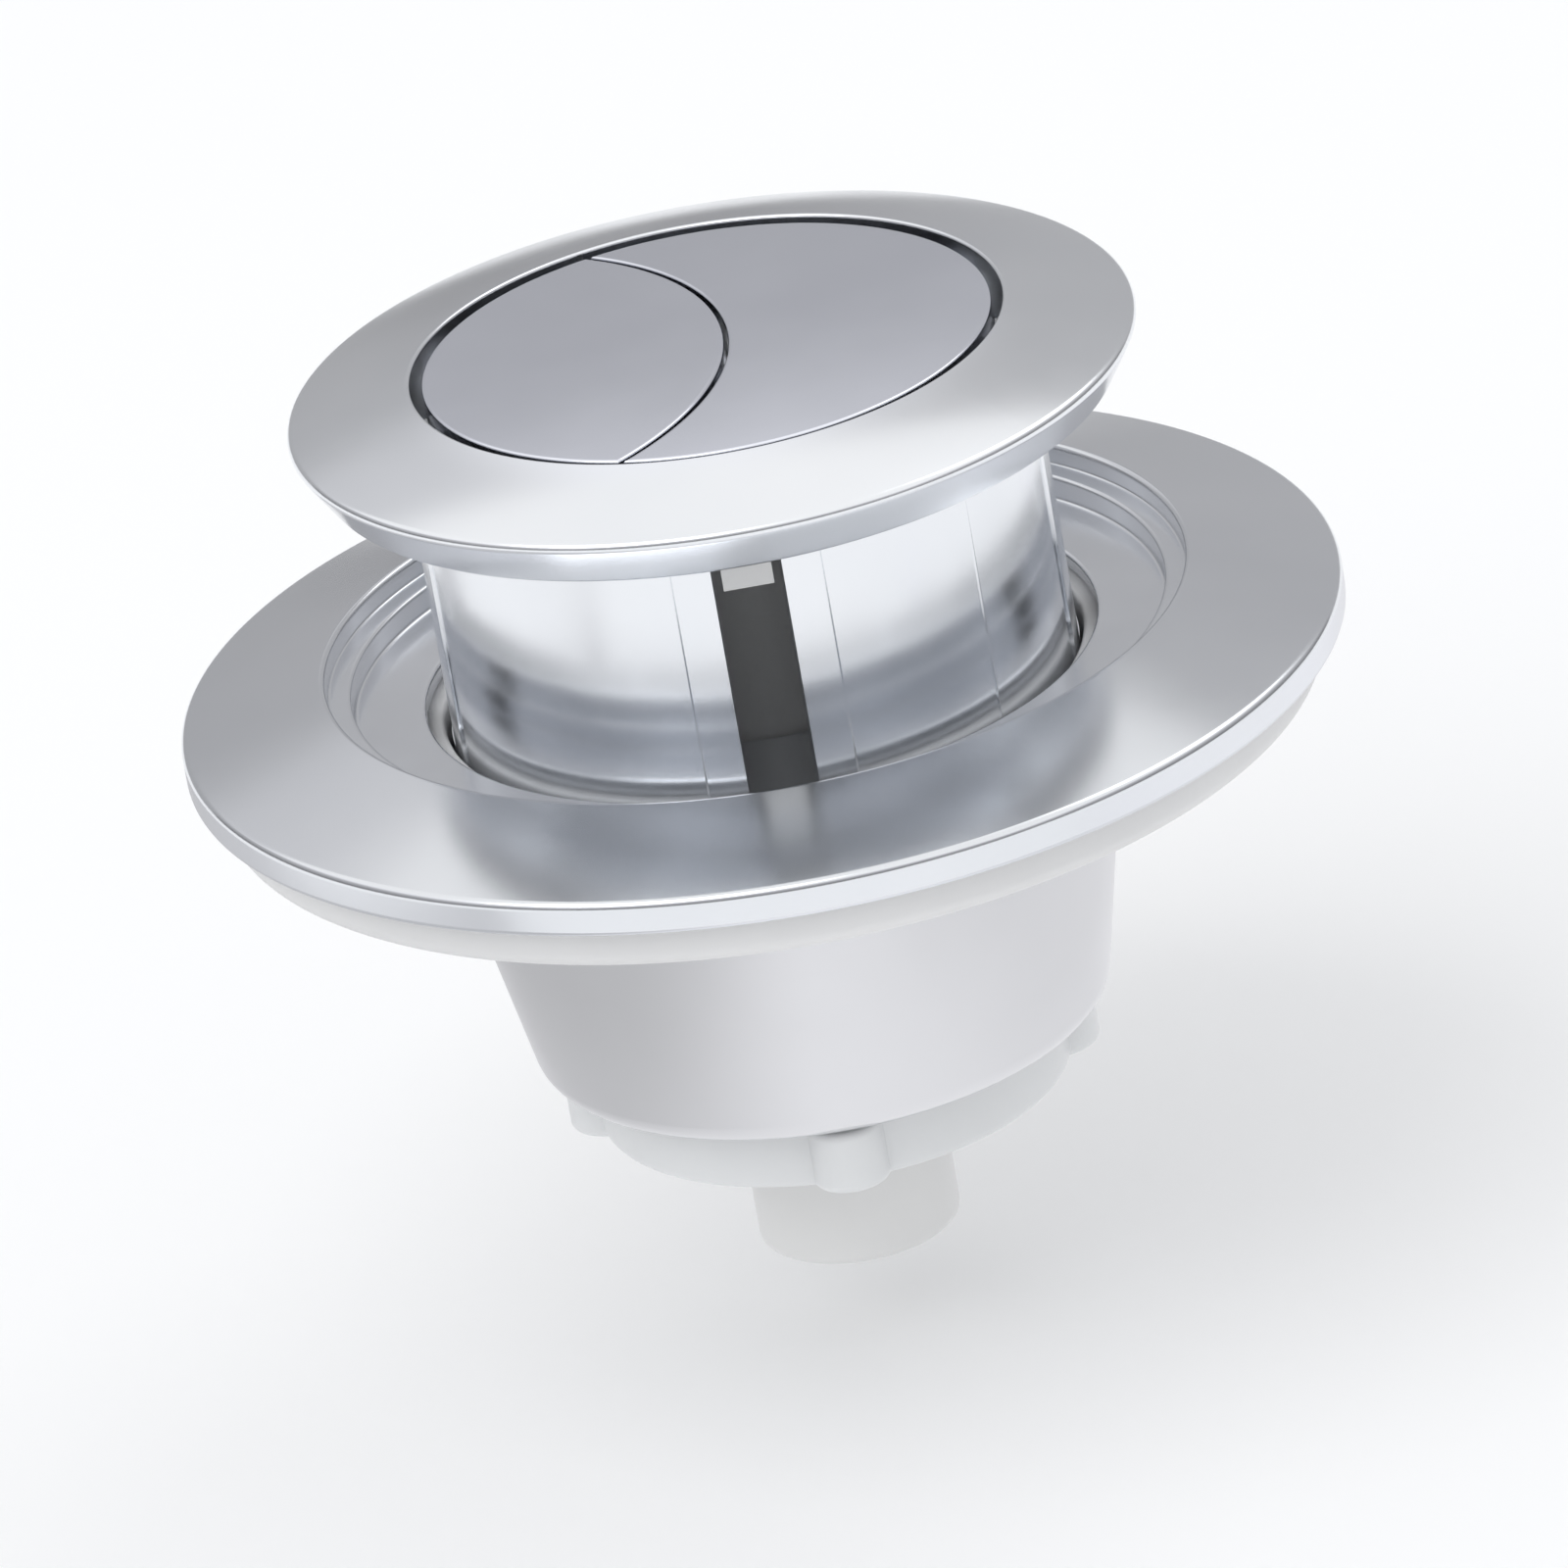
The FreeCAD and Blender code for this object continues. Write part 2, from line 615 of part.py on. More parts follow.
def make_stem_block():
    """A square block with rounded corners and a round bore that slides on the stem."""
    body = doc.addObject("PartDesign::Body", "stem_block_body")
    half = BLOCK_SIDE * 0.5
    sketch = new_sketch(body, "stem_block_square", "XY_Plane")
    sketch.setExpression("AttachmentOffset.Base.z", CUP_FLOOR_TOP.formula)
    signs = [(-1, -1), (1, -1), (1, 1), (-1, 1)]
    points = [FreeCAD.Vector(half.number * x, half.number * y, 0) for x, y in signs]
    for index in range(4):
        sketch.addGeometry(Part.LineSegment(points[index], points[(index + 1) % 4]), False)
    for index, (x, y) in enumerate(signs):
        sketch.addConstraint(Sketcher.Constraint("Coincident", index, 2, (index + 1) % 4, 1))
        fix_value(sketch, "DistanceX", -1, 1, index, 1, value=half if x > 0 else -half)
        fix_value(sketch, "DistanceY", -1, 1, index, 1, value=half if y > 0 else -half)
    pad = body.newObject("PartDesign::Pad", "stem_block_pad")
    pad.Profile = sketch
    bind(pad, Length=s.block_height)
    doc.recompute()

    def upright(edge):
        return abs(edge.Vertexes[0].Z - edge.Vertexes[-1].Z) > s.block_height.number * 0.5

    round_edges(body, "stem_block_corners", upright, s.block_rounding)
    circle = new_sketch(body, "stem_block_circle", "XY_Plane")
    circle.setExpression("AttachmentOffset.Base.z", CUP_FLOOR_TOP.formula)
    circle.addGeometry(Part.Circle(FreeCAD.Vector(0, 0, 0), FreeCAD.Vector(0, 0, 1), STEM_HOLE.number), False)
    circle.addConstraint(Sketcher.Constraint("Coincident", 0, 3, -1, 1))
    fix_value(circle, "Radius", 0, value=STEM_HOLE)
    bore = body.newObject("PartDesign::Pocket", "stem_block_bore")
    bore.Profile = circle
    bind(bore, Length=s.block_height)
    bore.Reversed = True
    doc.recompute()
    round_edges(body, "stem_block_mouth", on_ring(STEM_HOLE, CUP_FLOOR_TOP + s.block_height), s.block_mouth)
    return body


def make_clamp_cup():
    """A tapered cup, wide end up, with a beaded rim and a recess below its floor for the nut."""
    body = turned("clamp_cup_body", [
        (STEM_HOLE, CUP_FLOOR_BASE),
        (CUP_RECESS, CUP_FLOOR_BASE),
        (CUP_RECESS, CUP_BASE),
        (CUP_FOOT, CUP_BASE),
        (CUP_RADIUS, CUP_LAND),
        (CUP_BEAD, CUP_LAND),
        (CUP_BEAD, CUP_RIM),
        (CUP_THROAT, CUP_RIM),
        (CUP_THROAT, CUP_RIM - s.cup_throat_depth),
        (CUP_WELL, CUP_FLOOR_TOP),
        (STEM_HOLE, CUP_FLOOR_TOP),
    ])
    round_edges(body, "clamp_cup_edge", on_ring(CUP_FOOT, CUP_BASE), s.cup_rounding)
    return body


def make_lug_nut():
    """A nut with a flange, an upright wall, a channel, a threaded hub and four rounded lugs."""
    channel_floor = NUT_BASE + s.nut_channel_floor
    body = turned("lug_nut_body", [
        (STEM_HOLE, NUT_BASE),
        (NUT_FLANGE_RADIUS, NUT_BASE),
        (NUT_FLANGE_RADIUS, NUT_FLANGE_TOP),
        (NUT_WALL_RADIUS, NUT_FLANGE_TOP),
        (NUT_WALL_RADIUS, NUT_TOP),
        (NUT_WALL_RADIUS - s.nut_wall, NUT_TOP),
        (NUT_WALL_RADIUS - s.nut_wall, channel_floor),
        (NUT_HUB, channel_floor),
        (NUT_HUB, NUT_TOP),
        (STEM_HOLE, NUT_TOP),
    ])
    pieces = [body]
    lug_radius = s.lug_width * 0.5
    lug_centre = LUG_REACH - lug_radius
    lug_root = NUT_WALL_RADIUS - s.nut_wall * 0.5
    for quarter in range(4):
        sign = 1 if quarter in (0, 1) else -1
        across = lug_centre * sign if quarter in (0, 2) else 0
        deep = lug_centre * sign if quarter in (1, 3) else 0
        pieces.append(radial_box(f"lug_{quarter}", quarter, lug_root, lug_centre, s.lug_width, NUT_BASE,
                                 s.nut_flange_height))
        pieces.append(cylinder(f"lug_end_{quarter}", lug_radius, NUT_BASE, s.nut_flange_height, across, deep))
    return fuse("lug_nut_moulding", pieces)


PARTS = {
    "housing": make_housing(),
    "full_button": make_cap("full_cap", True),
    "half_button": make_cap("half_cap", False),
    "full_carrier": make_carrier("full_carrier_part", True, (0, 1, 3), SPRING_PLACE),
    "half_carrier": make_carrier("half_carrier_part", False, (2,), -SPRING_PLACE),
    "full_plunger": make_full_plunger(),
    "half_rod": make_half_rod(),
    "full_spring": make_spring("full_return", SPRING_PLACE),
    "half_spring": make_spring("half_return", -SPRING_PLACE),
    "adapter_ring": make_adapter_ring(),
    "seat_ring": make_seat_ring(),
    "stem_block": make_stem_block(),
    "clamp_cup": make_clamp_cup(),
    "lug_nut": make_lug_nut(),
}

for label, solid in PARTS.items():
    solid.Label = label
    place(solid, up=-FLANGE_BASE)
doc.recompute()

for thing in doc.Objects:
    if {"Invalid", "Error"} & set(thing.State):
        raise RuntimeError(f"{thing.Label} failed: {thing.State}")
for label, solid in PARTS.items():
    if solid.Shape.isNull() or not solid.Shape.isValid() or len(solid.Shape.Solids) != 1:
        raise RuntimeError(f"{label} is not one valid solid")

os.makedirs("parts", exist_ok=True)
for label, solid in PARTS.items():
    solid.Shape.exportStep(f"parts/{label}.step")
    box = solid.Shape.BoundBox
    print(f"{label}: {solid.Shape.Volume:.1f} mm3, z {box.ZMin:.2f} to {box.ZMax:.2f}, r {box.XMax:.2f}")
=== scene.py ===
"""Looks of a dual flush push button for a cistern lid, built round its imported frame.

The frame gives every level and outer size, in metres, with the axis of the button on Z. Chrome
pieces are turned profiles with rounded edges, so that their reflections run without facets. Each
class holds the sizes of one sub-assembly, in millimetres, and builds and dresses its pieces.
"""

from __future__ import annotations

import logging
import math
from dataclasses import dataclass, field
from enum import Enum
from typing import Callable, Sequence

import bmesh
import bpy
import numpy as np
from mathutils import Matrix, Vector

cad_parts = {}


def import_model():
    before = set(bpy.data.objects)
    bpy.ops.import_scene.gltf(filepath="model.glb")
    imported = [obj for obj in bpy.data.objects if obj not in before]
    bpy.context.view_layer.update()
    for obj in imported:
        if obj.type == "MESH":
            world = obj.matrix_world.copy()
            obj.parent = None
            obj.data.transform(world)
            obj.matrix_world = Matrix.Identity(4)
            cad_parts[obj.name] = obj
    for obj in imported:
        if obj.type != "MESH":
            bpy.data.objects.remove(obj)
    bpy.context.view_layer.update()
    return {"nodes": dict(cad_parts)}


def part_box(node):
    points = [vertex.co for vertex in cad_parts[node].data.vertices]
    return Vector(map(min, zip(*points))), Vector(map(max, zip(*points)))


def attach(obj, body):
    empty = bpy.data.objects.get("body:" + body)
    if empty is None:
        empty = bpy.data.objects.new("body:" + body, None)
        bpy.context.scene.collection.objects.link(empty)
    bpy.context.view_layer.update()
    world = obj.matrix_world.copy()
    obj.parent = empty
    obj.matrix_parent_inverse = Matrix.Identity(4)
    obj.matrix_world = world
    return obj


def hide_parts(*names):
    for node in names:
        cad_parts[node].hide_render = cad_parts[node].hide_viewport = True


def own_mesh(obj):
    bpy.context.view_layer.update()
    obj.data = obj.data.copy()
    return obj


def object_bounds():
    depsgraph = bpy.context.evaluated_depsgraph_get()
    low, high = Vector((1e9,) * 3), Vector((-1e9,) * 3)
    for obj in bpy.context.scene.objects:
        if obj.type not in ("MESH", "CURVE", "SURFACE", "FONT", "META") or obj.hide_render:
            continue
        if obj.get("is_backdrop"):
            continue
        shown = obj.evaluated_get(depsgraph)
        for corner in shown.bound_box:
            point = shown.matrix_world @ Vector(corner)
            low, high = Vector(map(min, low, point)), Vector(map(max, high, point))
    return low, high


LOG = logging.getLogger("push_button")
MM = 0.001
TURN = 2 * np.pi
SMOOTH_LIMIT = math.radians(38)
GUARD = 0.06
ARC_STEPS = 7


@dataclass(frozen=True)
class Corner:
    """A corner of a turned profile, with the radius that rounds it, all in millimetres."""

    radius: float
    level: float
    rounding: float = 0.12


def rounded_loop(corners: Sequence[Corner]) -> np.ndarray:
    """Rounds the corners of a closed profile.

    Each corner becomes an arc that touches both of its sides: its centre lies on the corner's
    bisector, at rounding / sin(half angle). A guard point follows at each end, so that the flat
    side beside the arc keeps its own normal.

    Args:
        corners: the profile's corners in order round the loop. A rounding of 0 keeps the point.

    Returns:
        The points of the loop as rows of (radius, level), in millimetres.
    """
    points = np.array([(corner.radius, corner.level) for corner in corners], float)
    back = np.roll(points, 1, axis=0) - points
    on = np.roll(points, -1, axis=0) - points
    back /= np.linalg.norm(back, axis=1, keepdims=True)
    on /= np.linalg.norm(on, axis=1, keepdims=True)
    rows = []
    for corner, point, to_last, to_next in zip(corners, points, back, on):
        if corner.rounding == 0:
            rows.append(point[None, :])
            continue
        half = math.acos(float(np.clip(to_last @ to_next, -1, 1))) / 2
        setback = corner.rounding / math.tan(half)
        bisector = (to_last + to_next) / np.linalg.norm(to_last + to_next)
        centre = point + bisector * corner.rounding / math.sin(half)
        start = point + to_last * setback
        end = point + to_next * setback
        first, last = (math.atan2(*(place - centre)[::-1]) for place in (start, end))
        sweep = (last - first + math.pi) % TURN - math.pi
        angles = first + sweep * np.linspace(0, 1, ARC_STEPS)
        arc = centre + corner.rounding * np.stack([np.cos(angles), np.sin(angles)], axis=1)
        rows.append(np.vstack([start + to_last * GUARD, arc, end + to_next * GUARD]))
    return np.vstack(rows)


def even_angles(count: int) -> np.ndarray:
    """Angles spaced evenly round the axis, in radians."""
    return np.arange(count) * TURN / count


def finish_mesh(name: str, points: np.ndarray, faces: np.ndarray) -> bpy.types.Object:
    """Makes an object of points in millimetres and faces, welded, outward and smooth.

    Args:
        name: the piece's name.
        points: an array of shape (count, 3).
        faces: rows of corner indices.

    Returns:
        The new object, linked to the scene.
    """
    mesh = bpy.data.meshes.new(name)
    mesh.from_pydata((points * MM).tolist(), [], faces.tolist())
    piece = bpy.data.objects.new(name, mesh)
    bpy.context.scene.collection.objects.link(piece)
    clean(piece)
    return piece


def clean(piece: bpy.types.Object) -> None:
    """Welds a piece's doubled points, turns its faces outwards and shades it smooth by angle."""
    work = bmesh.new()
    work.from_mesh(piece.data)
    bmesh.ops.remove_doubles(work, verts=work.verts, dist=1e-7)
    bmesh.ops.dissolve_degenerate(work, dist=1e-8, edges=work.edges)
    bmesh.ops.recalc_face_normals(work, faces=work.faces)
    work.to_mesh(piece.data)
    work.free()
    piece.data.shade_smooth()
    piece.data.set_sharp_from_angle(angle=SMOOTH_LIMIT)


def wrapped_quads(rows: int, columns: int, keep: np.ndarray | None = None) -> np.ndarray:
    """Quads of a grid that closes on itself both ways.

    Args:
        rows: points along the profile.
        columns: points round the axis.
        keep: an optional mask of shape (rows, columns) of the quads to keep.

    Returns:
        Rows of four point indices.
    """
    row, column = np.meshgrid(np.arange(rows), np.arange(columns), indexing="ij")
    below, beside = (row + 1) % rows, (column + 1) % columns
    quads = np.stack(
        [row * columns + column, row * columns + beside, below * columns + beside, below * columns + column],
        axis=-1,
    )
    return quads[keep] if keep is not None else quads.reshape(-1, 4)


def turned(
    name: str,
    loop: np.ndarray,
    angles: np.ndarray,
    swell: Callable[[np.ndarray, np.ndarray, np.ndarray], np.ndarray] | None = None,
    keep: np.ndarray | None = None,
) -> bpy.types.Object:
    """Carries a closed profile round the axis: x = r cos a, y = r sin a, z = level.

    Args:
        name: the piece's name.
        loop: rows of (radius, level) in millimetres.
        angles: the angles of the columns, in radians.
        swell: gives the radius from the grids of radius, level and angle.
        keep: an optional mask of the quads to keep.

    Returns:
        The new object.
    """
    radius, angle = np.meshgrid(loop[:, 0], angles, indexing="ij")
    level = np.repeat(loop[:, 1][:, None], len(angles), axis=1)
    if swell is not None:
        radius = swell(radius, level, angle)
    points = np.stack([radius * np.cos(angle), radius * np.sin(angle), level], axis=-1)
    return finish_mesh(name, points.reshape(-1, 3), wrapped_quads(*radius.shape, keep))


def lofted(name: str, outlines: np.ndarray) -> bpy.types.Object:
    """Joins closed outlines one after the other, the last back to the first.

    Args:
        name: the piece's name.
        outlines: an array of shape (outlines, points, 3), in millimetres.
    """
    rows, columns, _ = outlines.shape
    return finish_mesh(name, outlines.reshape(-1, 3), wrapped_quads(rows, columns))


def dress(piece: bpy.types.Object, body: str, slot: str, *finishes: bpy.types.Material) -> bpy.types.Object:
    """Gives a piece its materials and its body."""
    piece.data.materials.clear()
    for finish in finishes:
        piece.data.materials.append(finish)
    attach(piece, body)
    LOG.info("%s rides on %s with %d faces", piece.name, body, len(piece.data.polygons))
    return piece


class NodeGraph:
    """A material's nodes, added and linked by short calls."""

    def __init__(self, name: str) -> None:
        """Starts a material with a Principled shader and Object coordinates."""
        self.material = bpy.data.materials.new(name)
        self.material.use_nodes = True
        self.tree = self.material.node_tree
        self.shader = self.tree.nodes["Principled BSDF"]
        self.coordinates = self.tree.nodes.new("ShaderNodeTexCoord").outputs["Object"]

    def set(self, **sockets: object) -> None:
        """Sets sockets of the shader, named with underscores for spaces."""
        for socket, value in sockets.items():
            self.shader.inputs[socket.replace("_", " ")].default_value = value

    def noise(self, scale: float, detail: float = 3.0, stretch: Sequence[float] | None = None) -> object:
        """A noise texture on Object coordinates, with its scale in cells to a metre."""
        source = self.coordinates
        if stretch is not None:
            mapping = self.tree.nodes.new("ShaderNodeMapping")
            mapping.inputs["Scale"].default_value = stretch
            self.tree.links.new(source, mapping.inputs["Vector"])
            source = mapping.outputs["Vector"]
        texture = self.tree.nodes.new("ShaderNodeTexNoise")
        texture.inputs["Scale"].default_value = scale
        texture.inputs["Detail"].default_value = detail
        self.tree.links.new(source, texture.inputs["Vector"])
        return texture.outputs["Fac"]

    def spread(self, value: object, low: float, high: float) -> object:
        """Maps a noise value from its usual range of 0.3 to 0.7 on to low to high."""
        ranged = self.tree.nodes.new("ShaderNodeMapRange")
        ranged.inputs["From Min"].default_value = 0.3
        ranged.inputs["From Max"].default_value = 0.7
        ranged.inputs["To Min"].default_value = low
        ranged.inputs["To Max"].default_value = high
        self.tree.links.new(value, ranged.inputs["Value"])
        return ranged.outputs["Result"]

    def tint(self, value: object, dark: Sequence[float], pale: Sequence[float]) -> None:
        """Colours the surface between two colours by a noise value."""
        ramp = self.tree.nodes.new("ShaderNodeValToRGB")
        ramp.color_ramp.elements[0].position = 0.3
        ramp.color_ramp.elements[0].color = (*dark, 1)
        ramp.color_ramp.elements[1].position = 0.7
        ramp.color_ramp.elements[1].color = (*pale, 1)
        self.tree.links.new(value, ramp.inputs["Fac"])
        self.tree.links.new(ramp.outputs["Color"], self.shader.inputs["Base Color"])

    def roughen(self, value: object, low: float, high: float) -> None:
        """Lets the roughness vary from low to high with a noise value."""
        self.tree.links.new(self.spread(value, low, high), self.shader.inputs["Roughness"])

    def raise_surface(self, value: object, height: float, strength: float = 1.0) -> None:
        """Bumps the surface by a noise value, with its full height in metres."""
        bump = self.tree.nodes.new("ShaderNodeBump")
        bump.inputs["Distance"].default_value = height
        bump.inputs["Strength"].default_value = strength
        self.tree.links.new(value, bump.inputs["Height"])
        self.tree.links.new(bump.outputs["Normal"], self.shader.inputs["Normal"])


@dataclass(frozen=True)
class Plating:
    """Chrome plating on moulded plastic: its tone, gloss and the slight swell below it."""

    name: str
    dark: tuple[float, float, float]
    pale: tuple[float, float, float]
    gloss: tuple[float, float]
    swell: float
    grain_scale: float
    grain: float

    def build(self) -> bpy.types.Material:
        """Makes the material: cloudy tone, soft smudges in the gloss, and fine grain."""
        graph = NodeGraph(self.name)
        graph.set(Metallic=1.0)
        graph.tint(graph.noise(45.0), self.dark, self.pale)
        graph.roughen(graph.noise(110.0, 5.0), *self.gloss)
        if self.grain > 0:
            graph.raise_surface(graph.noise(self.grain_scale, 2.0), self.grain)
        else:
            graph.raise_surface(graph.noise(70.0, 1.0), self.swell)
        return graph.material


@dataclass(frozen=True)
class Moulding:
    """Moulded plastic or rubber: its tone, sheen, depth of light and skin texture."""

    name: str
    dark: tuple[float, float, float]
    pale: tuple[float, float, float]
    gloss: tuple[float, float]
    skin_scale: float
    skin: float
    glow: float = 0.0

    def build(self) -> bpy.types.Material:
        """Makes the material: cloudy tone, uneven gloss, moulded skin, and light inside."""
        graph = NodeGraph(self.name)
        graph.tint(graph.noise(60.0), self.dark, self.pale)
        graph.roughen(graph.noise(180.0, 4.0), *self.gloss)
        graph.raise_surface(graph.noise(self.skin_scale, 3.0), self.skin)
        if self.glow > 0:
            graph.set(
                Subsurface_Weight=self.glow,
                Subsurface_Radius=(1.0, 1.0, 1.0),
                Subsurface_Scale=0.0016,
            )
        return graph.material


class Finish(Enum):
    """The finishes of this button's pieces."""

    CHROME = Plating("chrome_plating", (0.84, 0.86, 0.89), (0.89, 0.905, 0.93), (0.06, 0.12), 0.00001, 0, 0)
    SHELL_CHROME = Plating("shell_plating", (0.83, 0.85, 0.88), (0.88, 0.895, 0.92), (0.16, 0.21), 0.000008, 0, 0)
    RING_CHROME = Plating("ring_plating", (0.78, 0.80, 0.83), (0.83, 0.845, 0.875), (0.15, 0.20), 0.000008, 0, 0)
    CAP_CHROME = Plating("cap_plating", (0.84, 0.86, 0.93), (0.88, 0.90, 0.965), (0.11, 0.15), 0.000008, 0, 0)
    SATIN = Plating("satin_plating", (0.745, 0.75, 0.76), (0.805, 0.81, 0.82), (0.20, 0.27), 0, 5200.0, 0.000002)
    GRAINY = Plating("grainy_plating", (0.74, 0.75, 0.78), (0.84, 0.85, 0.87), (0.16, 0.26), 0, 1900.0, 0.00006)
    WIRE = Plating("spring_wire_steel", (0.55, 0.55, 0.57), (0.66, 0.66, 0.67), (0.22, 0.32), 0, 3000.0, 0.000004)
    WHITE = Moulding("white_moulding", (0.71, 0.71, 0.705), (0.76, 0.76, 0.75), (0.32, 0.42), 900.0, 0.00002)
    GREY = Moulding("grey_moulding", (0.55, 0.56, 0.57), (0.62, 0.63, 0.64), (0.34, 0.44), 900.0, 0.00002)
    CLEAR_WHITE = Moulding("translucent_moulding", (0.70, 0.71, 0.715), (0.75, 0.76, 0.765), (0.28, 0.38), 700.0,
                           0.00004, 0.3)
    SEAT = Moulding("seat_silicone", (0.70, 0.70, 0.70), (0.75, 0.75, 0.75), (0.36, 0.46), 600.0, 0.00003, 0.25)
    BLACK = Moulding("black_foam_rubber", (0.010, 0.010, 0.011), (0.020, 0.020, 0.021), (0.52, 0.68), 2600.0,
                     0.00005)


class Palette:
    """Builds each finish once."""

    def __init__(self) -> None:
        """Starts with no material built."""
        self.made: dict[Finish, bpy.types.Material] = {}

    def __getitem__(self, finish: Finish) -> bpy.types.Material:
        """The material of a finish."""
        if finish not in self.made:
            self.made[finish] = finish.value.build()
        return self.made[finish]


def levels(node: str) -> tuple[float, float]:
    """A node's lowest and highest level, in millimetres."""
    low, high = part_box(node)
    return low.z / MM, high.z / MM


@dataclass
class Thread:
    """The right-hand thread of the stem, in millimetres. A crest passes angle 0 at phase_level."""

    major: float = 7.98
    minor: float = 7.10
    pitch: float = 1.5
    phase_level: float = -41.0
    crest_share: float = 0.16
    root_share: float = 0.72

    def height(self, level: np.ndarray, angle: np.ndarray) -> np.ndarray:
        """The thread's height from 0 at the root to 1 at the crest.

        The helix climbs one pitch a turn, so the phase is level / pitch less angle / turn. The
        distance from the nearest crest, as a share of half a pitch, falls from 1 at the crest's
        edge to 0 at the root's edge, eased at both.
        """
        phase = ((level - self.phase_level) / self.pitch - angle / TURN) % 1.0
        away = 2 * np.minimum(phase, 1 - phase)
        share = np.clip((self.root_share - away) / (self.root_share - self.crest_share), 0, 1)
        return share * share * (3 - 2 * share)


@dataclass
class Housing:
    """Flange, slotted barrel and threaded stem of the chromed moulding, in millimetres."""

    palette: Palette
    thread: Thread
    flange_radius: float = 25.7
    foot_radius: float = 23.9
    flange_edge: float = 2.9
    dome_sag: float = 0.17
    recess: tuple[float, float, float] = (20.6, 22.4, 1.9)
    bore: float = 17.8
    wall_radius: float = 18.85
    pad_rise: float = 0.15
    pad_half_angle: float = math.radians(13.6)
    pad_edge_angle: float = math.radians(0.22)
    seam_angle: float = math.radians(-45)
    seam_rise: float = 0.06
    seam_half_angle: float = math.radians(0.3)
    barrel_base: float = -20.7
    barrel_floor: float = 2.0
    barrel_chamfer: float = 0.8
    slot_half_width: float = 2.1
    slot_base: float = -17.6
    stem_bore: float = 6.4
    pilot_radius: float = 7.1
    pilot_length: float = 3.0
    columns: int = 240

    def angles(self) -> np.ndarray:
        """Column angles: even ones, with exact ones at the edges of slots, pads and seams.

        The outer two of each set of seven guard the flat wall beside a step, so that it keeps its normal.
        """
        slot = math.asin(self.slot_half_width / (self.wall_radius + self.pad_rise))
        across = np.array([-1.25, -1, -0.5, 0, 0.5, 1, 1.25])
        pad = self.pad_half_angle + self.pad_edge_angle * across
        seam = self.seam_angle + self.seam_half_angle * across
        marks = np.concatenate([[-slot, slot], pad, -pad])
        every_quarter = (marks[None, :] + even_angles(4)[:, None]).ravel()
        exact = np.concatenate([every_quarter, seam, seam + math.pi]) % TURN
        even = even_angles(self.columns)
        apart = np.abs((even[:, None] - exact[None, :] + math.pi) % TURN - math.pi).min(axis=1)
        return np.sort(np.concatenate([even[apart > math.radians(0.4)], exact]))

    def swell(self, radius: np.ndarray, level: np.ndarray, angle: np.ndarray) -> np.ndarray:
        """Raises the four slotted pads and the mould's two fine seams on the barrel's outside.

        A pad is a step, eased by a smooth ramp over its edge. A seam is a raised cosine.
        """
        quarter = (angle + math.pi / 4) % (math.pi / 2) - math.pi / 4
        ramp = (self.pad_half_angle + self.pad_edge_angle - np.abs(quarter)) / (2 * self.pad_edge_angle)
        ramp = np.clip(ramp, 0, 1)
        pad = self.pad_rise * ramp * ramp * (3 - 2 * ramp)
        off_seam = np.abs((angle - self.seam_angle + math.pi / 2) % math.pi - math.pi / 2) / self.seam_half_angle
        seam = self.seam_rise * 0.5 * (1 + np.cos(np.pi * np.clip(off_seam, 0, 1)))
        outside = (radius > self.bore + 0.3) & (radius < self.wall_radius + 0.01) & (level < -0.2)
        return radius + np.where(outside & (level > self.barrel_base + self.barrel_chamfer + 0.15), pad + seam, 0)

    def shell_loop(self) -> np.ndarray:
        """The profile of floor, barrel and flange. The dome is a parabola over a straight slope."""
        _, top = levels("housing")
        top = round(top, 1) if top > 4.8 else top
        recess_inner, recess_outer, recess_depth = self.recess
        floor_top = self.barrel_base + self.barrel_floor
        along = np.linspace(0.08, 0.94, 12)
        dome_radius = self.flange_radius + (self.bore - self.flange_radius) * along
        dome_level = self.flange_edge + (top - self.flange_edge) * along + 4 * self.dome_sag * along * (1 - along)
        wall_low = self.wall_radius - self.barrel_chamfer
        corners = [
            Corner(self.stem_bore, self.barrel_base),
            Corner(wall_low, self.barrel_base),
            Corner(self.wall_radius, self.barrel_base + self.barrel_chamfer),
            Corner(self.wall_radius, self.barrel_base + self.barrel_chamfer + 0.2, 0),
            Corner(self.wall_radius, self.barrel_base + self.barrel_chamfer + 0.4, 0),
            Corner(self.wall_radius, self.slot_base, 0),
            Corner(self.wall_radius, self.slot_base + 0.3, 0),
            Corner(self.wall_radius, -0.45, 0),
            Corner(self.wall_radius, -0.25, 0),
            Corner(self.wall_radius, -0.15, 0),
            Corner(self.wall_radius, 0, 0.1),
            Corner(recess_inner, 0),
            Corner(recess_inner, recess_depth),
            Corner(recess_outer, recess_depth),
            Corner(recess_outer, 0),
            Corner(self.foot_radius, 0, 0.25),
            Corner(self.flange_radius, self.flange_edge, 0.42),
            *[Corner(float(r), float(z), 0) for r, z in zip(dome_radius, dome_level)],
            Corner(self.bore, top, 0.17),
            Corner(self.bore, -0.15, 0),
            Corner(self.bore, -0.25, 0),
            Corner(self.bore, self.slot_base, 0),
            Corner(self.bore, floor_top),
            Corner(self.stem_bore, floor_top),
        ]
        return rounded_loop(corners)

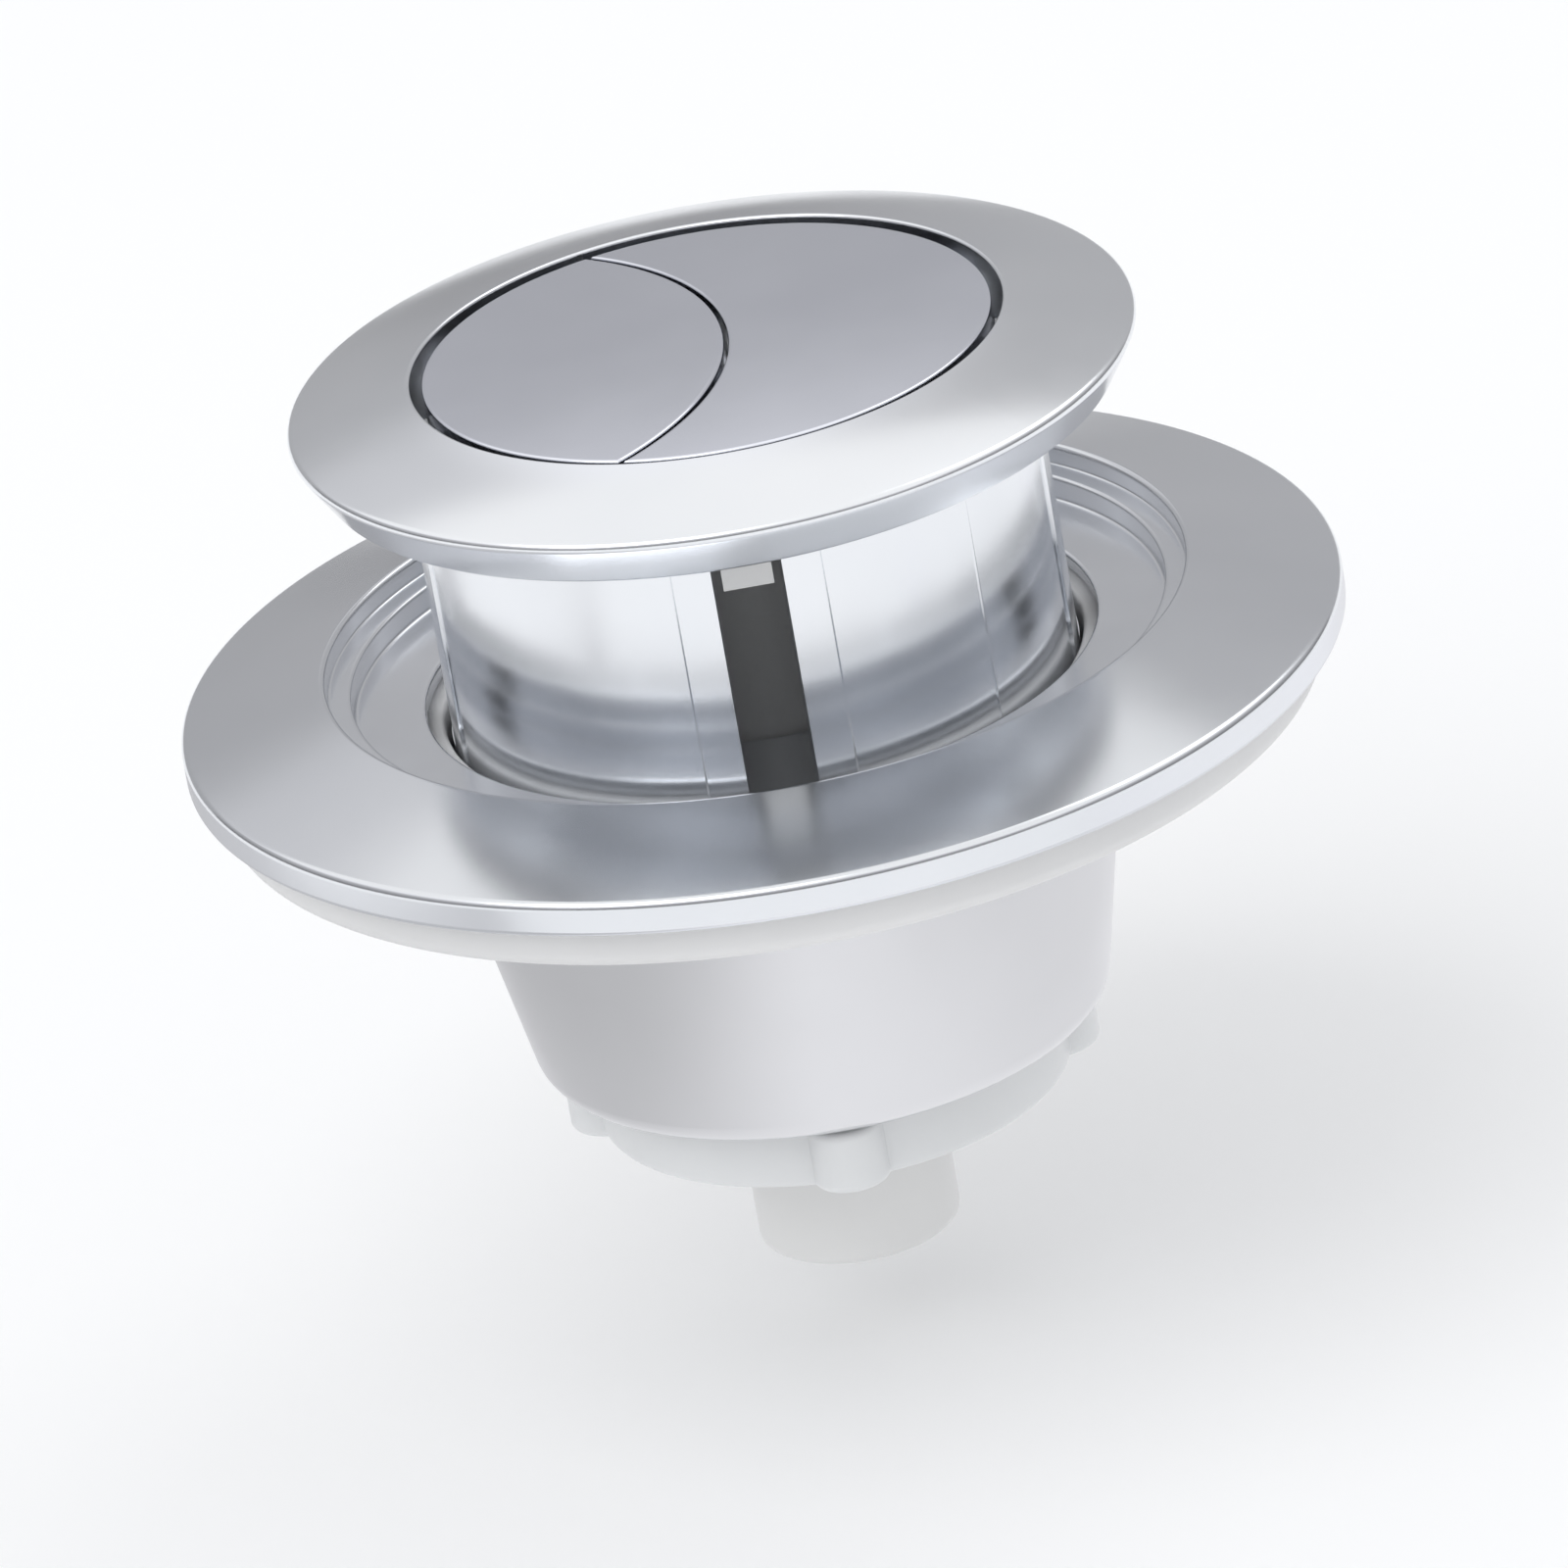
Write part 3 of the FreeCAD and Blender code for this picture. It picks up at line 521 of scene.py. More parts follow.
    def build_shell(self) -> bpy.types.Object:
        """Turns the shell, leaves out the slots' windows and joins their rims."""
        loop = self.shell_loop()
        angles = self.angles()
        slot = math.asin(self.slot_half_width / (self.wall_radius + self.pad_rise))
        upper = np.roll(loop, -1, axis=0)
        middle = (loop + upper) / 2
        on_wall = (np.abs(loop[:, 0] - upper[:, 0]) < 1e-6) & (middle[:, 1] > self.slot_base) & (middle[:, 1] < -0.2)
        on_wall &= (middle[:, 0] > self.bore - 0.1) & (middle[:, 0] < self.wall_radius + 0.1)
        following = np.roll(angles, -1)
        centre = angles + ((following - angles) % TURN) / 2
        quarter = (centre + math.pi / 4) % (math.pi / 2) - math.pi / 4
        keep = ~(on_wall[:, None] & (np.abs(quarter) < slot)[None, :])
        shell = turned("flange_and_barrel", loop, angles, self.swell, keep)
        self.join_slot_rims(shell)
        return dress(shell, "housing", "chrome_plate", self.palette[Finish.SHELL_CHROME])

    def join_slot_rims(self, shell: bpy.types.Object) -> None:
        """Closes each slot's sides between its outer and inner rim."""
        work = bmesh.new()
        work.from_mesh(shell.data)
        for quarter in range(4):
            towards = Vector((math.cos(quarter * math.pi / 2), math.sin(quarter * math.pi / 2), 0))
            reach = self.bore * MM * 0.8
            rim = [
                edge for edge in work.edges
                if edge.is_boundary and (edge.verts[0].co + edge.verts[1].co).dot(towards) / 2 > reach
            ]
            bmesh.ops.bridge_loops(work, edges=rim)
        bmesh.ops.recalc_face_normals(work, faces=work.faces)
        work.to_mesh(shell.data)
        work.free()
        shell.data.shade_smooth()
        shell.data.set_sharp_from_angle(angle=SMOOTH_LIMIT)

    def build_stem(self) -> bpy.types.Object:
        """Turns the stem and cuts the helical thread into its outside."""
        low, _ = levels("housing")
        thread_base = low + self.pilot_length
        top = self.barrel_base + self.barrel_floor * 0.5
        rows = np.arange(thread_base + 0.05, self.barrel_base, self.thread.pitch / 18)
        corners = [
            Corner(self.stem_bore, low),
            Corner(self.pilot_radius, low, 0.2),
            Corner(self.pilot_radius, thread_base, 0),
            *[Corner(self.thread.major, float(level), 0) for level in rows],
            Corner(self.thread.major, top, 0),
            Corner(self.stem_bore, top, 0),
        ]

        def cut_thread(radius: np.ndarray, level: np.ndarray, angle: np.ndarray) -> np.ndarray:
            """Lowers the outside to the thread, inside the lead-in cone, up to the run-out."""
            depth = self.thread.major - self.thread.minor
            run_out = np.clip((self.barrel_base - 0.8 - level) / self.thread.pitch, 0, 1)
            threaded = self.thread.major - depth * (1 - self.thread.height(level, angle)) * run_out
            lead_in = self.pilot_radius + (level - thread_base)
            outside = (radius > self.pilot_radius + 0.1) & (level > thread_base)
            return np.where(outside, np.minimum(threaded, lead_in), radius)

        stem = turned("threaded_stem", rounded_loop(corners), even_angles(144), cut_thread)
        return dress(stem, "housing", "chrome_plate", self.palette[Finish.CHROME])

    def build_peg(self, name: str, side: float) -> bpy.types.Object:
        """A peg on the barrel's floor that centres a return spring."""
        floor_top = self.barrel_base + self.barrel_floor
        corners = [
            Corner(0, floor_top - 0.5, 0),
            Corner(1.7, floor_top - 0.5, 0),
            Corner(1.7, floor_top + 2.0, 0.3),
            Corner(0, floor_top + 2.0, 0),
        ]
        peg = turned(name, rounded_loop(corners), even_angles(40))
        peg.data.transform(Matrix.Translation((side * MM, 0, 0)))
        return dress(peg, "housing", "chrome_plate", self.palette[Finish.CHROME])

    def build(self) -> None:
        """Builds the pieces that stand for the housing."""
        pieces = [self.build_shell(), self.build_stem()]
        pieces.append(self.build_peg("spring_peg_full", ButtonSizes().spring_place))
        pieces.append(self.build_peg("spring_peg_half", -ButtonSizes().spring_place))
        for piece in pieces:
            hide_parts("housing")


@dataclass(frozen=True)
class ButtonSizes:
    """Sizes that both caps and their rods share, in millimetres."""

    cap_radius: float = 17.1
    split_offset: float = 19.9
    split_radius: float = 21.1
    split_gap: float = 0.3
    edge_rounding: float = 0.14
    dome_drop: float = 0.22
    cap_wall: float = 1.2
    cap_top: float = 1.2
    plunger_radius: float = 6.15
    plunger_bore: float = 3.2
    rod_radius: float = 2.75
    rod_step: float = -4.6
    spring_place: float = 9.7
    spring_radius: float = 2.5
    wire_radius: float = 0.35
    spring_turns: float = 6.6
    travel: float = 6.0


class Flush(Enum):
    """The two buttons, with the names of their frame pieces."""

    FULL = "full"
    HALF = "half"


@dataclass
class Button:
    """One button: its chrome cap, white carrier, rod and return spring."""

    palette: Palette
    flush: Flush
    sizes: ButtonSizes = field(default_factory=ButtonSizes)

    @property
    def body(self) -> str:
        """The frame body that the button's pieces ride on."""
        return f"{self.flush.value}_button"

    def outline(self, trim: float, level: float, count: int = 96) -> np.ndarray:
        """The cap's outline drawn in by trim, as count points on each of its two arcs.

        The disc's circle and the split's circle meet where x = (split^2 - disc^2 - offset^2) over
        2 offset. The full flush cap is the disc outside the split circle, the other the inside.
        """
        full = self.flush is Flush.FULL
        gap = self.sizes.split_gap / 2 + trim
        disc = self.sizes.cap_radius - trim
        split = self.sizes.split_radius + (gap if full else -gap)
        offset = self.sizes.split_offset
        x = (split**2 - disc**2 - offset**2) / (2 * offset)
        y = math.sqrt(disc**2 - x**2)
        disc_angle, split_angle = math.atan2(y, x), math.atan2(y, x + offset)
        share = np.linspace(0, 1, count)
        between = share[1:-1]
        if full:
            rim = -disc_angle + 2 * disc_angle * share
            back = split_angle * (1 - 2 * between)
        else:
            rim = disc_angle + (TURN - 2 * disc_angle) * share
            back = split_angle * (2 * between - 1)
        outer = np.stack([disc * np.cos(rim), disc * np.sin(rim)], axis=1)
        inner = np.stack([split * np.cos(back) - offset, split * np.sin(back)], axis=1)
        flat = np.vstack([outer, inner])
        return np.column_stack([flat, np.full(len(flat), level)])

    def domed(self, points: np.ndarray) -> np.ndarray:
        """Lowers points of the cap's top towards its rim, by drop (r / radius)^2."""
        share = np.hypot(points[..., 0], points[..., 1]) / self.sizes.cap_radius
        lowered = points.copy()
        lowered[..., 2] -= self.sizes.dome_drop * share**2
        return lowered

    def build_cap(self, count: int = 96, rows: int = 16) -> bpy.types.Object:
        """Builds the cap: skirt, rounded edge and slightly domed top, with a flat lid inside.

        The edge's outlines are drawn in by r (1 - cos t) at the level top - r (1 - sin t). The top
        is ruled between the outline's two arcs, point by point, and lowered to the dome.

        Args:
            count: points on each arc of the outline.
            rows: rows of points across the top.
        """
        low, top = levels(self.body)
        rounding = self.sizes.edge_rounding
        turn = np.linspace(0, np.pi / 2, ARC_STEPS)
        edge = [
            self.outline(rounding * (1 - math.cos(t)), top - rounding * (1 - math.sin(t)), count) for t in turn
        ]
        inside_top = top - self.sizes.cap_top
        outlines = [
            self.outline(self.sizes.cap_wall + 0.4, inside_top, count),
            self.outline(self.sizes.cap_wall, inside_top, count),
            self.outline(self.sizes.cap_wall, low, count),
            self.outline(0.1, low, count),
            self.outline(0, low + 0.1, count),
            self.domed(self.outline(0, top - rounding - GUARD, count)),
            *[self.domed(outline) for outline in edge],
            self.domed(self.outline(rounding + GUARD, top, count)),
        ]
        rings, columns = len(outlines), len(outlines[0])
        quads = wrapped_quads(rings, columns)[: (rings - 1) * columns].tolist()
        lid = list(range(columns))
        flat = self.outline(rounding + GUARD, top, count)
        outer = flat[:count]
        inner = np.vstack([flat[:1], flat[count:][::-1], flat[count - 1: count]])
        share = np.linspace(0, 1, rows)[:, None, None]
        crown = self.domed(outer[None] * (1 - share) + inner[None] * share)
        row, column = np.meshgrid(np.arange(rows - 1), np.arange(count - 1), indexing="ij")
        first = rings * columns + row * count + column
        top_quads = np.stack([first, first + 1, first + count + 1, first + count], axis=-1).reshape(-1, 4)
        points = np.vstack([*outlines, crown.reshape(-1, 3)])
        mesh = bpy.data.meshes.new(f"{self.flush.value}_cap")
        mesh.from_pydata((points * MM).tolist(), [], quads + [lid] + top_quads.tolist())
        cap = bpy.data.objects.new(mesh.name, mesh)
        bpy.context.scene.collection.objects.link(cap)
        clean(cap)
        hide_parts(self.body)
        return dress(cap, self.body, "chrome_plate", self.palette[Finish.CAP_CHROME])

    def build_plunger(self) -> bpy.types.Object:
        """The white tube, with a post on the full flush side that reaches its carrier."""
        low, top = levels("full_plunger")
        radius, bore = self.sizes.plunger_radius, self.sizes.plunger_bore
        step = self.sizes.rod_step
        tube = turned("plunger_tube", rounded_loop([
            Corner(bore, low, 0.25),
            Corner(radius, low, 0.6),
            Corner(radius, step, 0.15),
            Corner(bore, step, 0.15),
        ]), even_angles(96))
        dress(tube, self.body, "white_moulding", self.palette[Finish.WHITE])
        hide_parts("full_plunger")
        flat = self.sizes.split_radius + self.sizes.split_gap / 2 + 1.35 - self.sizes.split_offset
        half_angle = math.acos(flat / radius)
        share = np.linspace(-1, 1, 40)
        arc = np.stack([radius * np.cos(half_angle * share), radius * np.sin(half_angle * share)], axis=1)
        inner_half = math.acos(flat / bore)
        hollow = np.stack([bore * np.cos(-inner_half * share), bore * np.sin(-inner_half * share)], axis=1)
        ring = np.vstack([arc, hollow])
        post = prism("plunger_post", ring, step - 0.5, top)
        dress(post, self.body, "white_moulding", self.palette[Finish.WHITE])
        return post

    def build_rod(self) -> bpy.types.Object:
        """The inner rod, with a flat on its upper end that keeps it under the half flush cap."""
        low, top = levels("half_rod")
        radius, step = self.sizes.rod_radius, self.sizes.rod_step
        rod = turned("half_rod_bar", rounded_loop([
            Corner(0, low, 0),
            Corner(radius, low, 0.5),
            Corner(radius, step, 0.15),
            Corner(0, step, 0),
        ]), even_angles(64))
        dress(rod, self.body, "grey_moulding", self.palette[Finish.GREY])
        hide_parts("half_rod")
        flat = self.sizes.split_radius - self.sizes.split_gap / 2 - self.sizes.split_offset - 0.5
        half_angle = math.acos(flat / radius)
        angles = np.linspace(half_angle, TURN - half_angle, 48)
        ring = np.stack([radius * np.cos(angles), radius * np.sin(angles)], axis=1)
        shank = prism("half_rod_shank", ring, step - 0.5, top)
        return dress(shank, self.body, "grey_moulding", self.palette[Finish.GREY])

    def build_spring(self, side: float) -> bpy.types.Object:
        """A coil of round wire with flat end turns, riding on its button.

        The wire's centre runs at (radius cos u, radius sin u). Its level eases in and out of a
        flat turn at each end: the share of the height is a smooth step of the share of the turns.
        """
        name = f"{self.flush.value}_spring"
        floor, top = levels(name)
        wire = self.sizes.wire_radius
        first, last = floor + wire + 0.1, top - wire - 0.1
        share = np.linspace(0, 1, 420)
        turns = self.sizes.spring_turns + 2
        flat_share = 0.9 / turns
        climb = np.clip((share - flat_share) / (1 - 2 * flat_share), 0, 1)
        pressed = 2 * wire * flat_share * turns / (last - first)
        rise = np.where(share < flat_share, share / flat_share * pressed, 0)
        rise = np.where(share > 1 - flat_share, 1 - (1 - share) / flat_share * pressed, rise)
        middle = (share >= flat_share) & (share <= 1 - flat_share)
        rise = np.where(middle, pressed + (1 - 2 * pressed) * climb, rise)
        angle = share * turns * TURN
        radius = self.sizes.spring_radius
        centre = np.stack([radius * np.cos(angle) + side, radius * np.sin(angle), first + (last - first) * rise], 1)
        along = np.gradient(centre, axis=0)
        along /= np.linalg.norm(along, axis=1, keepdims=True)
        outward = np.stack([np.cos(angle), np.sin(angle), np.zeros_like(angle)], axis=1)
        outward -= (outward * along).sum(axis=1, keepdims=True) * along
        outward /= np.linalg.norm(outward, axis=1, keepdims=True)
        across = np.cross(along, outward)
        around = even_angles(12)
        ring = np.cos(around)[None, :, None] * outward[:, None, :] + np.sin(around)[None, :, None] * across[:, None, :]
        points = centre[:, None, :] + wire * ring
        rows, columns = points.shape[:2]
        quads = wrapped_quads(rows, columns)[: (rows - 1) * columns].tolist()
        ends = [list(range(columns)), list(range((rows - 1) * columns, rows * columns))]
        mesh = bpy.data.meshes.new(f"{name}_coil")
        mesh.from_pydata((points.reshape(-1, 3) * MM).tolist(), [], quads + ends)
        coil = bpy.data.objects.new(mesh.name, mesh)
        bpy.context.scene.collection.objects.link(coil)
        clean(coil)
        dress(coil, self.body, "spring_wire", self.palette[Finish.WIRE])
        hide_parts(name)
        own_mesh(coil)
        return coil

    def build(self) -> None:
        """Builds the button's pieces."""
        self.build_cap()
        if self.flush is Flush.FULL:
            self.build_plunger()
            self.build_spring(self.sizes.spring_place)
        else:
            self.build_rod()
            self.build_spring(-self.sizes.spring_place)


def prism(name: str, ring: np.ndarray, low: float, high: float) -> bpy.types.Object:
    """A closed prism over a flat ring of points, from one level to another, in millimetres."""
    count = len(ring)
    points = np.vstack([np.column_stack([ring, np.full(count, level)]) for level in (low, high)])
    index = np.arange(count)
    following = (index + 1) % count
    sides = np.stack([index, following, following + count, index + count], axis=1).tolist()
    mesh = bpy.data.meshes.new(name)
    mesh.from_pydata((points * MM).tolist(), [], sides + [list(range(count)), list(range(count, 2 * count))])
    piece = bpy.data.objects.new(name, mesh)
    bpy.context.scene.collection.objects.link(piece)
    clean(piece)
    return piece


@dataclass
class ClampStack:
    """Adapter ring, seat ring, stem block and clamp cup, in millimetres."""

    palette: Palette
    adapter_radius: float = 35.1
    adapter_side: float = 2.05
    adapter_rise: float = 2.4
    adapter_opening: float = 26.0
    adapter_step: tuple[float, float] = (24.6, 1.4)
    adapter_ledge: tuple[float, float] = (2.9, 1.0)
    adapter_hole: float = 20.3
    adapter_wall: float = 1.2
    seat_radius: float = 33.4
    seat_hole: float = 19.3
    seat_land: tuple[float, float] = (24.2, 3.5)
    seat_groove: tuple[float, float] = (24.8, 2.8)
    seat_rim_inner: float = 28.5
    cup_rim: float = 21.2
    cup_foot: float = 17.35
    cup_bead: tuple[float, float] = (0.45, 0.4)
    cup_throat: tuple[float, float] = (19.6, 3.6)
    cup_well: float = 16.9
    cup_floor: tuple[float, float] = (15.0, 2.0)
    cup_recess: float = 14.0
    stem_hole: float = 8.2
    block_side: float = 18.7
    block_corner: float = 1.3

    def build_adapter(self) -> bpy.types.Object:
        """The chrome cover ring: sloping top, stepped recess, ledge and hollow underside."""
        base, top = levels("adapter_ring")
        edge = top - self.adapter_rise
        step_radius, step_depth = self.adapter_step
        ledge_depth, ledge_thickness = self.adapter_ledge
        ledge_top = top - ledge_depth
        ledge_base = ledge_top - ledge_thickness
        step_level = top - step_depth
        wall = self.adapter_wall
        drop = wall * self.adapter_rise / (self.adapter_radius - self.adapter_opening)
        ring = turned("adapter_cover_ring", rounded_loop([
            Corner(self.adapter_hole, ledge_base, 0.15),
            Corner(step_radius + wall, ledge_base),
            Corner(step_radius + wall, step_level - wall),
            Corner(self.adapter_opening + wall, step_level - wall),
            Corner(self.adapter_opening + wall, top - drop - wall),
            Corner(self.adapter_radius - wall, edge + drop - wall),
            Corner(self.adapter_radius - wall, base),
            Corner(self.adapter_radius, base, 0.3),
            Corner(self.adapter_radius, edge, 0.5),
            Corner(self.adapter_opening, top, 0.3),
            Corner(self.adapter_opening, step_level, 0.15),
            Corner(step_radius, step_level, 0.2),
            Corner(step_radius, ledge_top, 0.2),
            Corner(self.adapter_hole, ledge_top, 0.2),
        ]), even_angles(288))
        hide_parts("adapter_ring")
        return dress(ring, "clamp_stack", "chrome_plate", self.palette[Finish.RING_CHROME])

    def build_seat(self) -> bpy.types.Object:
        """The soft ring: rounded rim, groove and flat land."""
        base, top = levels("seat_ring")
        land_outer, land_height = self.seat_land
        groove_outer, groove_height = self.seat_groove
        seat = turned("seat_ring_silicone", rounded_loop([
            Corner(self.seat_hole, base, 0.4),
            Corner(self.seat_radius, base, 0.9),
            Corner(self.seat_radius, top, 2.0),
            Corner(self.seat_rim_inner, top, 1.6),
            Corner(self.seat_rim_inner, base + groove_height, 0.15),
            Corner(groove_outer, base + groove_height, 0.15),
            Corner(land_outer, base + land_height, 0.15),
            Corner(self.seat_hole, base + land_height, 0.3),
        ]), even_angles(240))
        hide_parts("seat_ring")
        return dress(seat, "clamp_stack", "seat_rubber", self.palette[Finish.SEAT])

    def build_cup(self) -> bpy.types.Object:
        """The tapered cup: satin outside, grainy inside, with a raised bead round its rim."""
        base, rim = levels("clamp_cup")
        bead_width, bead_height = self.cup_bead
        throat, throat_depth = self.cup_throat
        floor_depth, floor_thickness = self.cup_floor
        land = rim - bead_height
        floor_top = rim - floor_depth
        loop = rounded_loop([
            Corner(self.stem_hole, floor_top - floor_thickness),
            Corner(self.cup_recess, floor_top - floor_thickness),
            Corner(self.cup_recess, base, 0.3),
            Corner(self.cup_foot, base, 1.7),
            Corner(self.cup_rim, land, 0.12),
            Corner(throat + bead_width, land, 0.05),
            Corner(throat + bead_width, rim, 0.15),
            Corner(throat, rim, 0.15),
            Corner(throat, rim - throat_depth, 1.0),
            Corner(self.cup_well, floor_top, 0.8),
            Corner(self.stem_hole, floor_top),
        ])
        cup = turned("clamp_cup_shell", loop, even_angles(240))
        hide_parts("clamp_cup")
        dress(cup, "clamp_stack", "satin_chrome", self.palette[Finish.SATIN], self.palette[Finish.GRAINY],
              self.palette[Finish.CHROME])
        self.split_finish(cup, land, floor_top)
        return cup

    def split_finish(self, cup: bpy.types.Object, land: float, floor_top: float) -> None:
        """Gives the cup's inside the grainy finish and its rim the bright one."""
        count = len(cup.data.polygons)
        centres = np.empty(count * 3)
        normals = np.empty(count * 3)
        cup.data.polygons.foreach_get("center", centres)
        cup.data.polygons.foreach_get("normal", normals)
        centres, normals = centres.reshape(-1, 3) / MM, normals.reshape(-1, 3)
        outward = (centres[:, :2] * normals[:, :2]).sum(axis=1)
        inside = (outward < 0) & (centres[:, 2] > floor_top - 0.5) | (np.abs(centres[:, 2] - floor_top) < 0.2)
        bright = centres[:, 2] > land - 0.05
        indices = np.where(bright, 2, np.where(inside, 1, 0)).astype(np.int32)
        cup.data.polygons.foreach_set("material_index", indices)
        cup.data.update()

    def block_outline(self, inset: float, level: float, count: int = 120) -> np.ndarray:
        """A square with rounded corners: a smaller square, moved out by the corner's radius."""
        half = self.block_side / 2 - inset
        core = half - self.block_corner
        angle = even_angles(count) + TURN / count / 2
        reach = 1 / np.maximum(np.abs(np.cos(angle)), np.abs(np.sin(angle)))
        ray = np.stack([np.cos(angle), np.sin(angle)], axis=1)
        on_square = ray * reach[:, None] * half
        nearest = np.clip(on_square, -core, core)
        away = on_square - nearest
        length = np.maximum(np.linalg.norm(away, axis=1, keepdims=True), 1e-9)
        return np.column_stack([nearest + away / length * self.block_corner, np.full(count, level)])

    def bore_outline(self, radius: float, level: float, count: int = 120) -> np.ndarray:
        """A circle with as many points as the block's outline."""
        angle = even_angles(count) + TURN / count / 2
        return np.column_stack([radius * np.cos(angle), radius * np.sin(angle), np.full(count, level)])

    def build_block(self) -> bpy.types.Object:
        """The black square block with a round bore, its edges broken and its bore mouth rounded."""
        base, top = levels("stem_block")
        mouth = 0.4
        turn = np.linspace(0, np.pi / 2, ARC_STEPS)
        outlines = [
            self.block_outline(0.25, base),
            *[self.block_outline(0.25 * (1 - math.sin(t)), base + 0.25 * (1 - math.cos(t))) for t in turn],
            *[self.block_outline(0.25 * (1 - math.cos(t)), top - 0.25 * (1 - math.sin(t))) for t in turn],
            self.block_outline(0.35, top),
            self.bore_outline(self.stem_hole + mouth + 0.1, top),
            *[
                self.bore_outline(self.stem_hole + mouth * (1 - math.sin(t)), top - mouth * (1 - math.cos(t)))
                for t in turn
            ],
            self.bore_outline(self.stem_hole, base + 0.2),
            self.bore_outline(self.stem_hole + 0.2, base),
        ]
        block = lofted("stem_block_rubber", np.stack(outlines))
        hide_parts("stem_block")
        return dress(block, "clamp_stack", "black_rubber", self.palette[Finish.BLACK])

    def build(self) -> None:
        """Builds the four pieces of the stack."""
        self.build_adapter()
        self.build_seat()
        self.build_cup()
        self.build_block()


@dataclass
class LugNut:
    """The translucent nut: flange with four lugs, upright wall, channel and threaded hub."""

    palette: Palette
    thread: Thread
    flange_radius: float = 14.4
    flange_height: float = 3.9
    wall_radius: float = 12.85
    wall: float = 1.05
    hub_radius: float = 9.9
    channel_floor: float = 1.6
    lug_reach: float = 16.2
    lug_width: float = 4.5
    thread_play: float = 0.14

    def flange_outline(self, angle: np.ndarray) -> np.ndarray:
        """The flange's radius with its four lugs.

        A lug's end is a circle of half its width. Along a ray at angle a from the lug's middle,
        that circle lies at c cos a + sqrt(r^2 - c^2 sin^2 a). The larger of that and the flange's
        radius is taken, with the inner corner eased.
        """
        quarter = (angle + math.pi / 4) % (math.pi / 2) - math.pi / 4
        end = self.lug_width / 2
        centre = self.lug_reach - end
        under = np.maximum(end**2 - (centre * np.sin(quarter)) ** 2, 0)
        lug = np.where(under > 0, centre * np.cos(quarter) + np.sqrt(under), 0)
        flange = np.full_like(angle, self.flange_radius)
        softness = 0.12
        gap = np.clip((lug - flange) / softness, -30, 30)
        return flange + softness * np.log1p(np.exp(gap))

    def build(self) -> bpy.types.Object:
        """Turns the nut, spreads its flange to the lugs and cuts the thread in its bore."""
        base, top = levels("lug_nut")
        flange_top = base + self.flange_height
        channel = base + self.channel_floor
        bore = self.thread.major + self.thread_play
        bore_rows = np.arange(top - 0.35, base + 0.3, -self.thread.pitch / 16)
        corners = [
            Corner(bore + 0.25, base, 0),
            Corner(self.flange_radius, base, 0.45),
            Corner(self.flange_radius, flange_top, 0.45),
            Corner(self.wall_radius, flange_top, 0.15),
            Corner(self.wall_radius, top, 0.25),
            Corner(self.wall_radius - self.wall, top, 0.25),
            Corner(self.wall_radius - self.wall, channel, 0.3),
            Corner(self.hub_radius, channel, 0.3),
            Corner(self.hub_radius, top, 0.25),
            Corner(bore + 0.25, top, 0),
            *[Corner(bore, float(level), 0) for level in bore_rows],
        ]

        def shape(radius: np.ndarray, level: np.ndarray, angle: np.ndarray) -> np.ndarray:
            """Spreads the flange's side to its outline and raises the thread in the bore."""
            on_flange = (radius > self.wall_radius + 0.3) & (level < flange_top + 0.01)
            spread = radius + (self.flange_outline(angle) - self.flange_radius)
            depth = self.thread.major - self.thread.minor
            threaded = radius - depth * (1 - self.thread.height(level, angle))
            in_bore = radius < bore + 0.01
            return np.where(on_flange, spread, np.where(in_bore, threaded, radius))

        nut = turned("lug_nut_moulding", rounded_loop(corners), even_angles(360), shape)
        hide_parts("lug_nut")
        return dress(nut, "lug_nut", "clear_white_moulding", self.palette[Finish.CLEAR_WHITE])


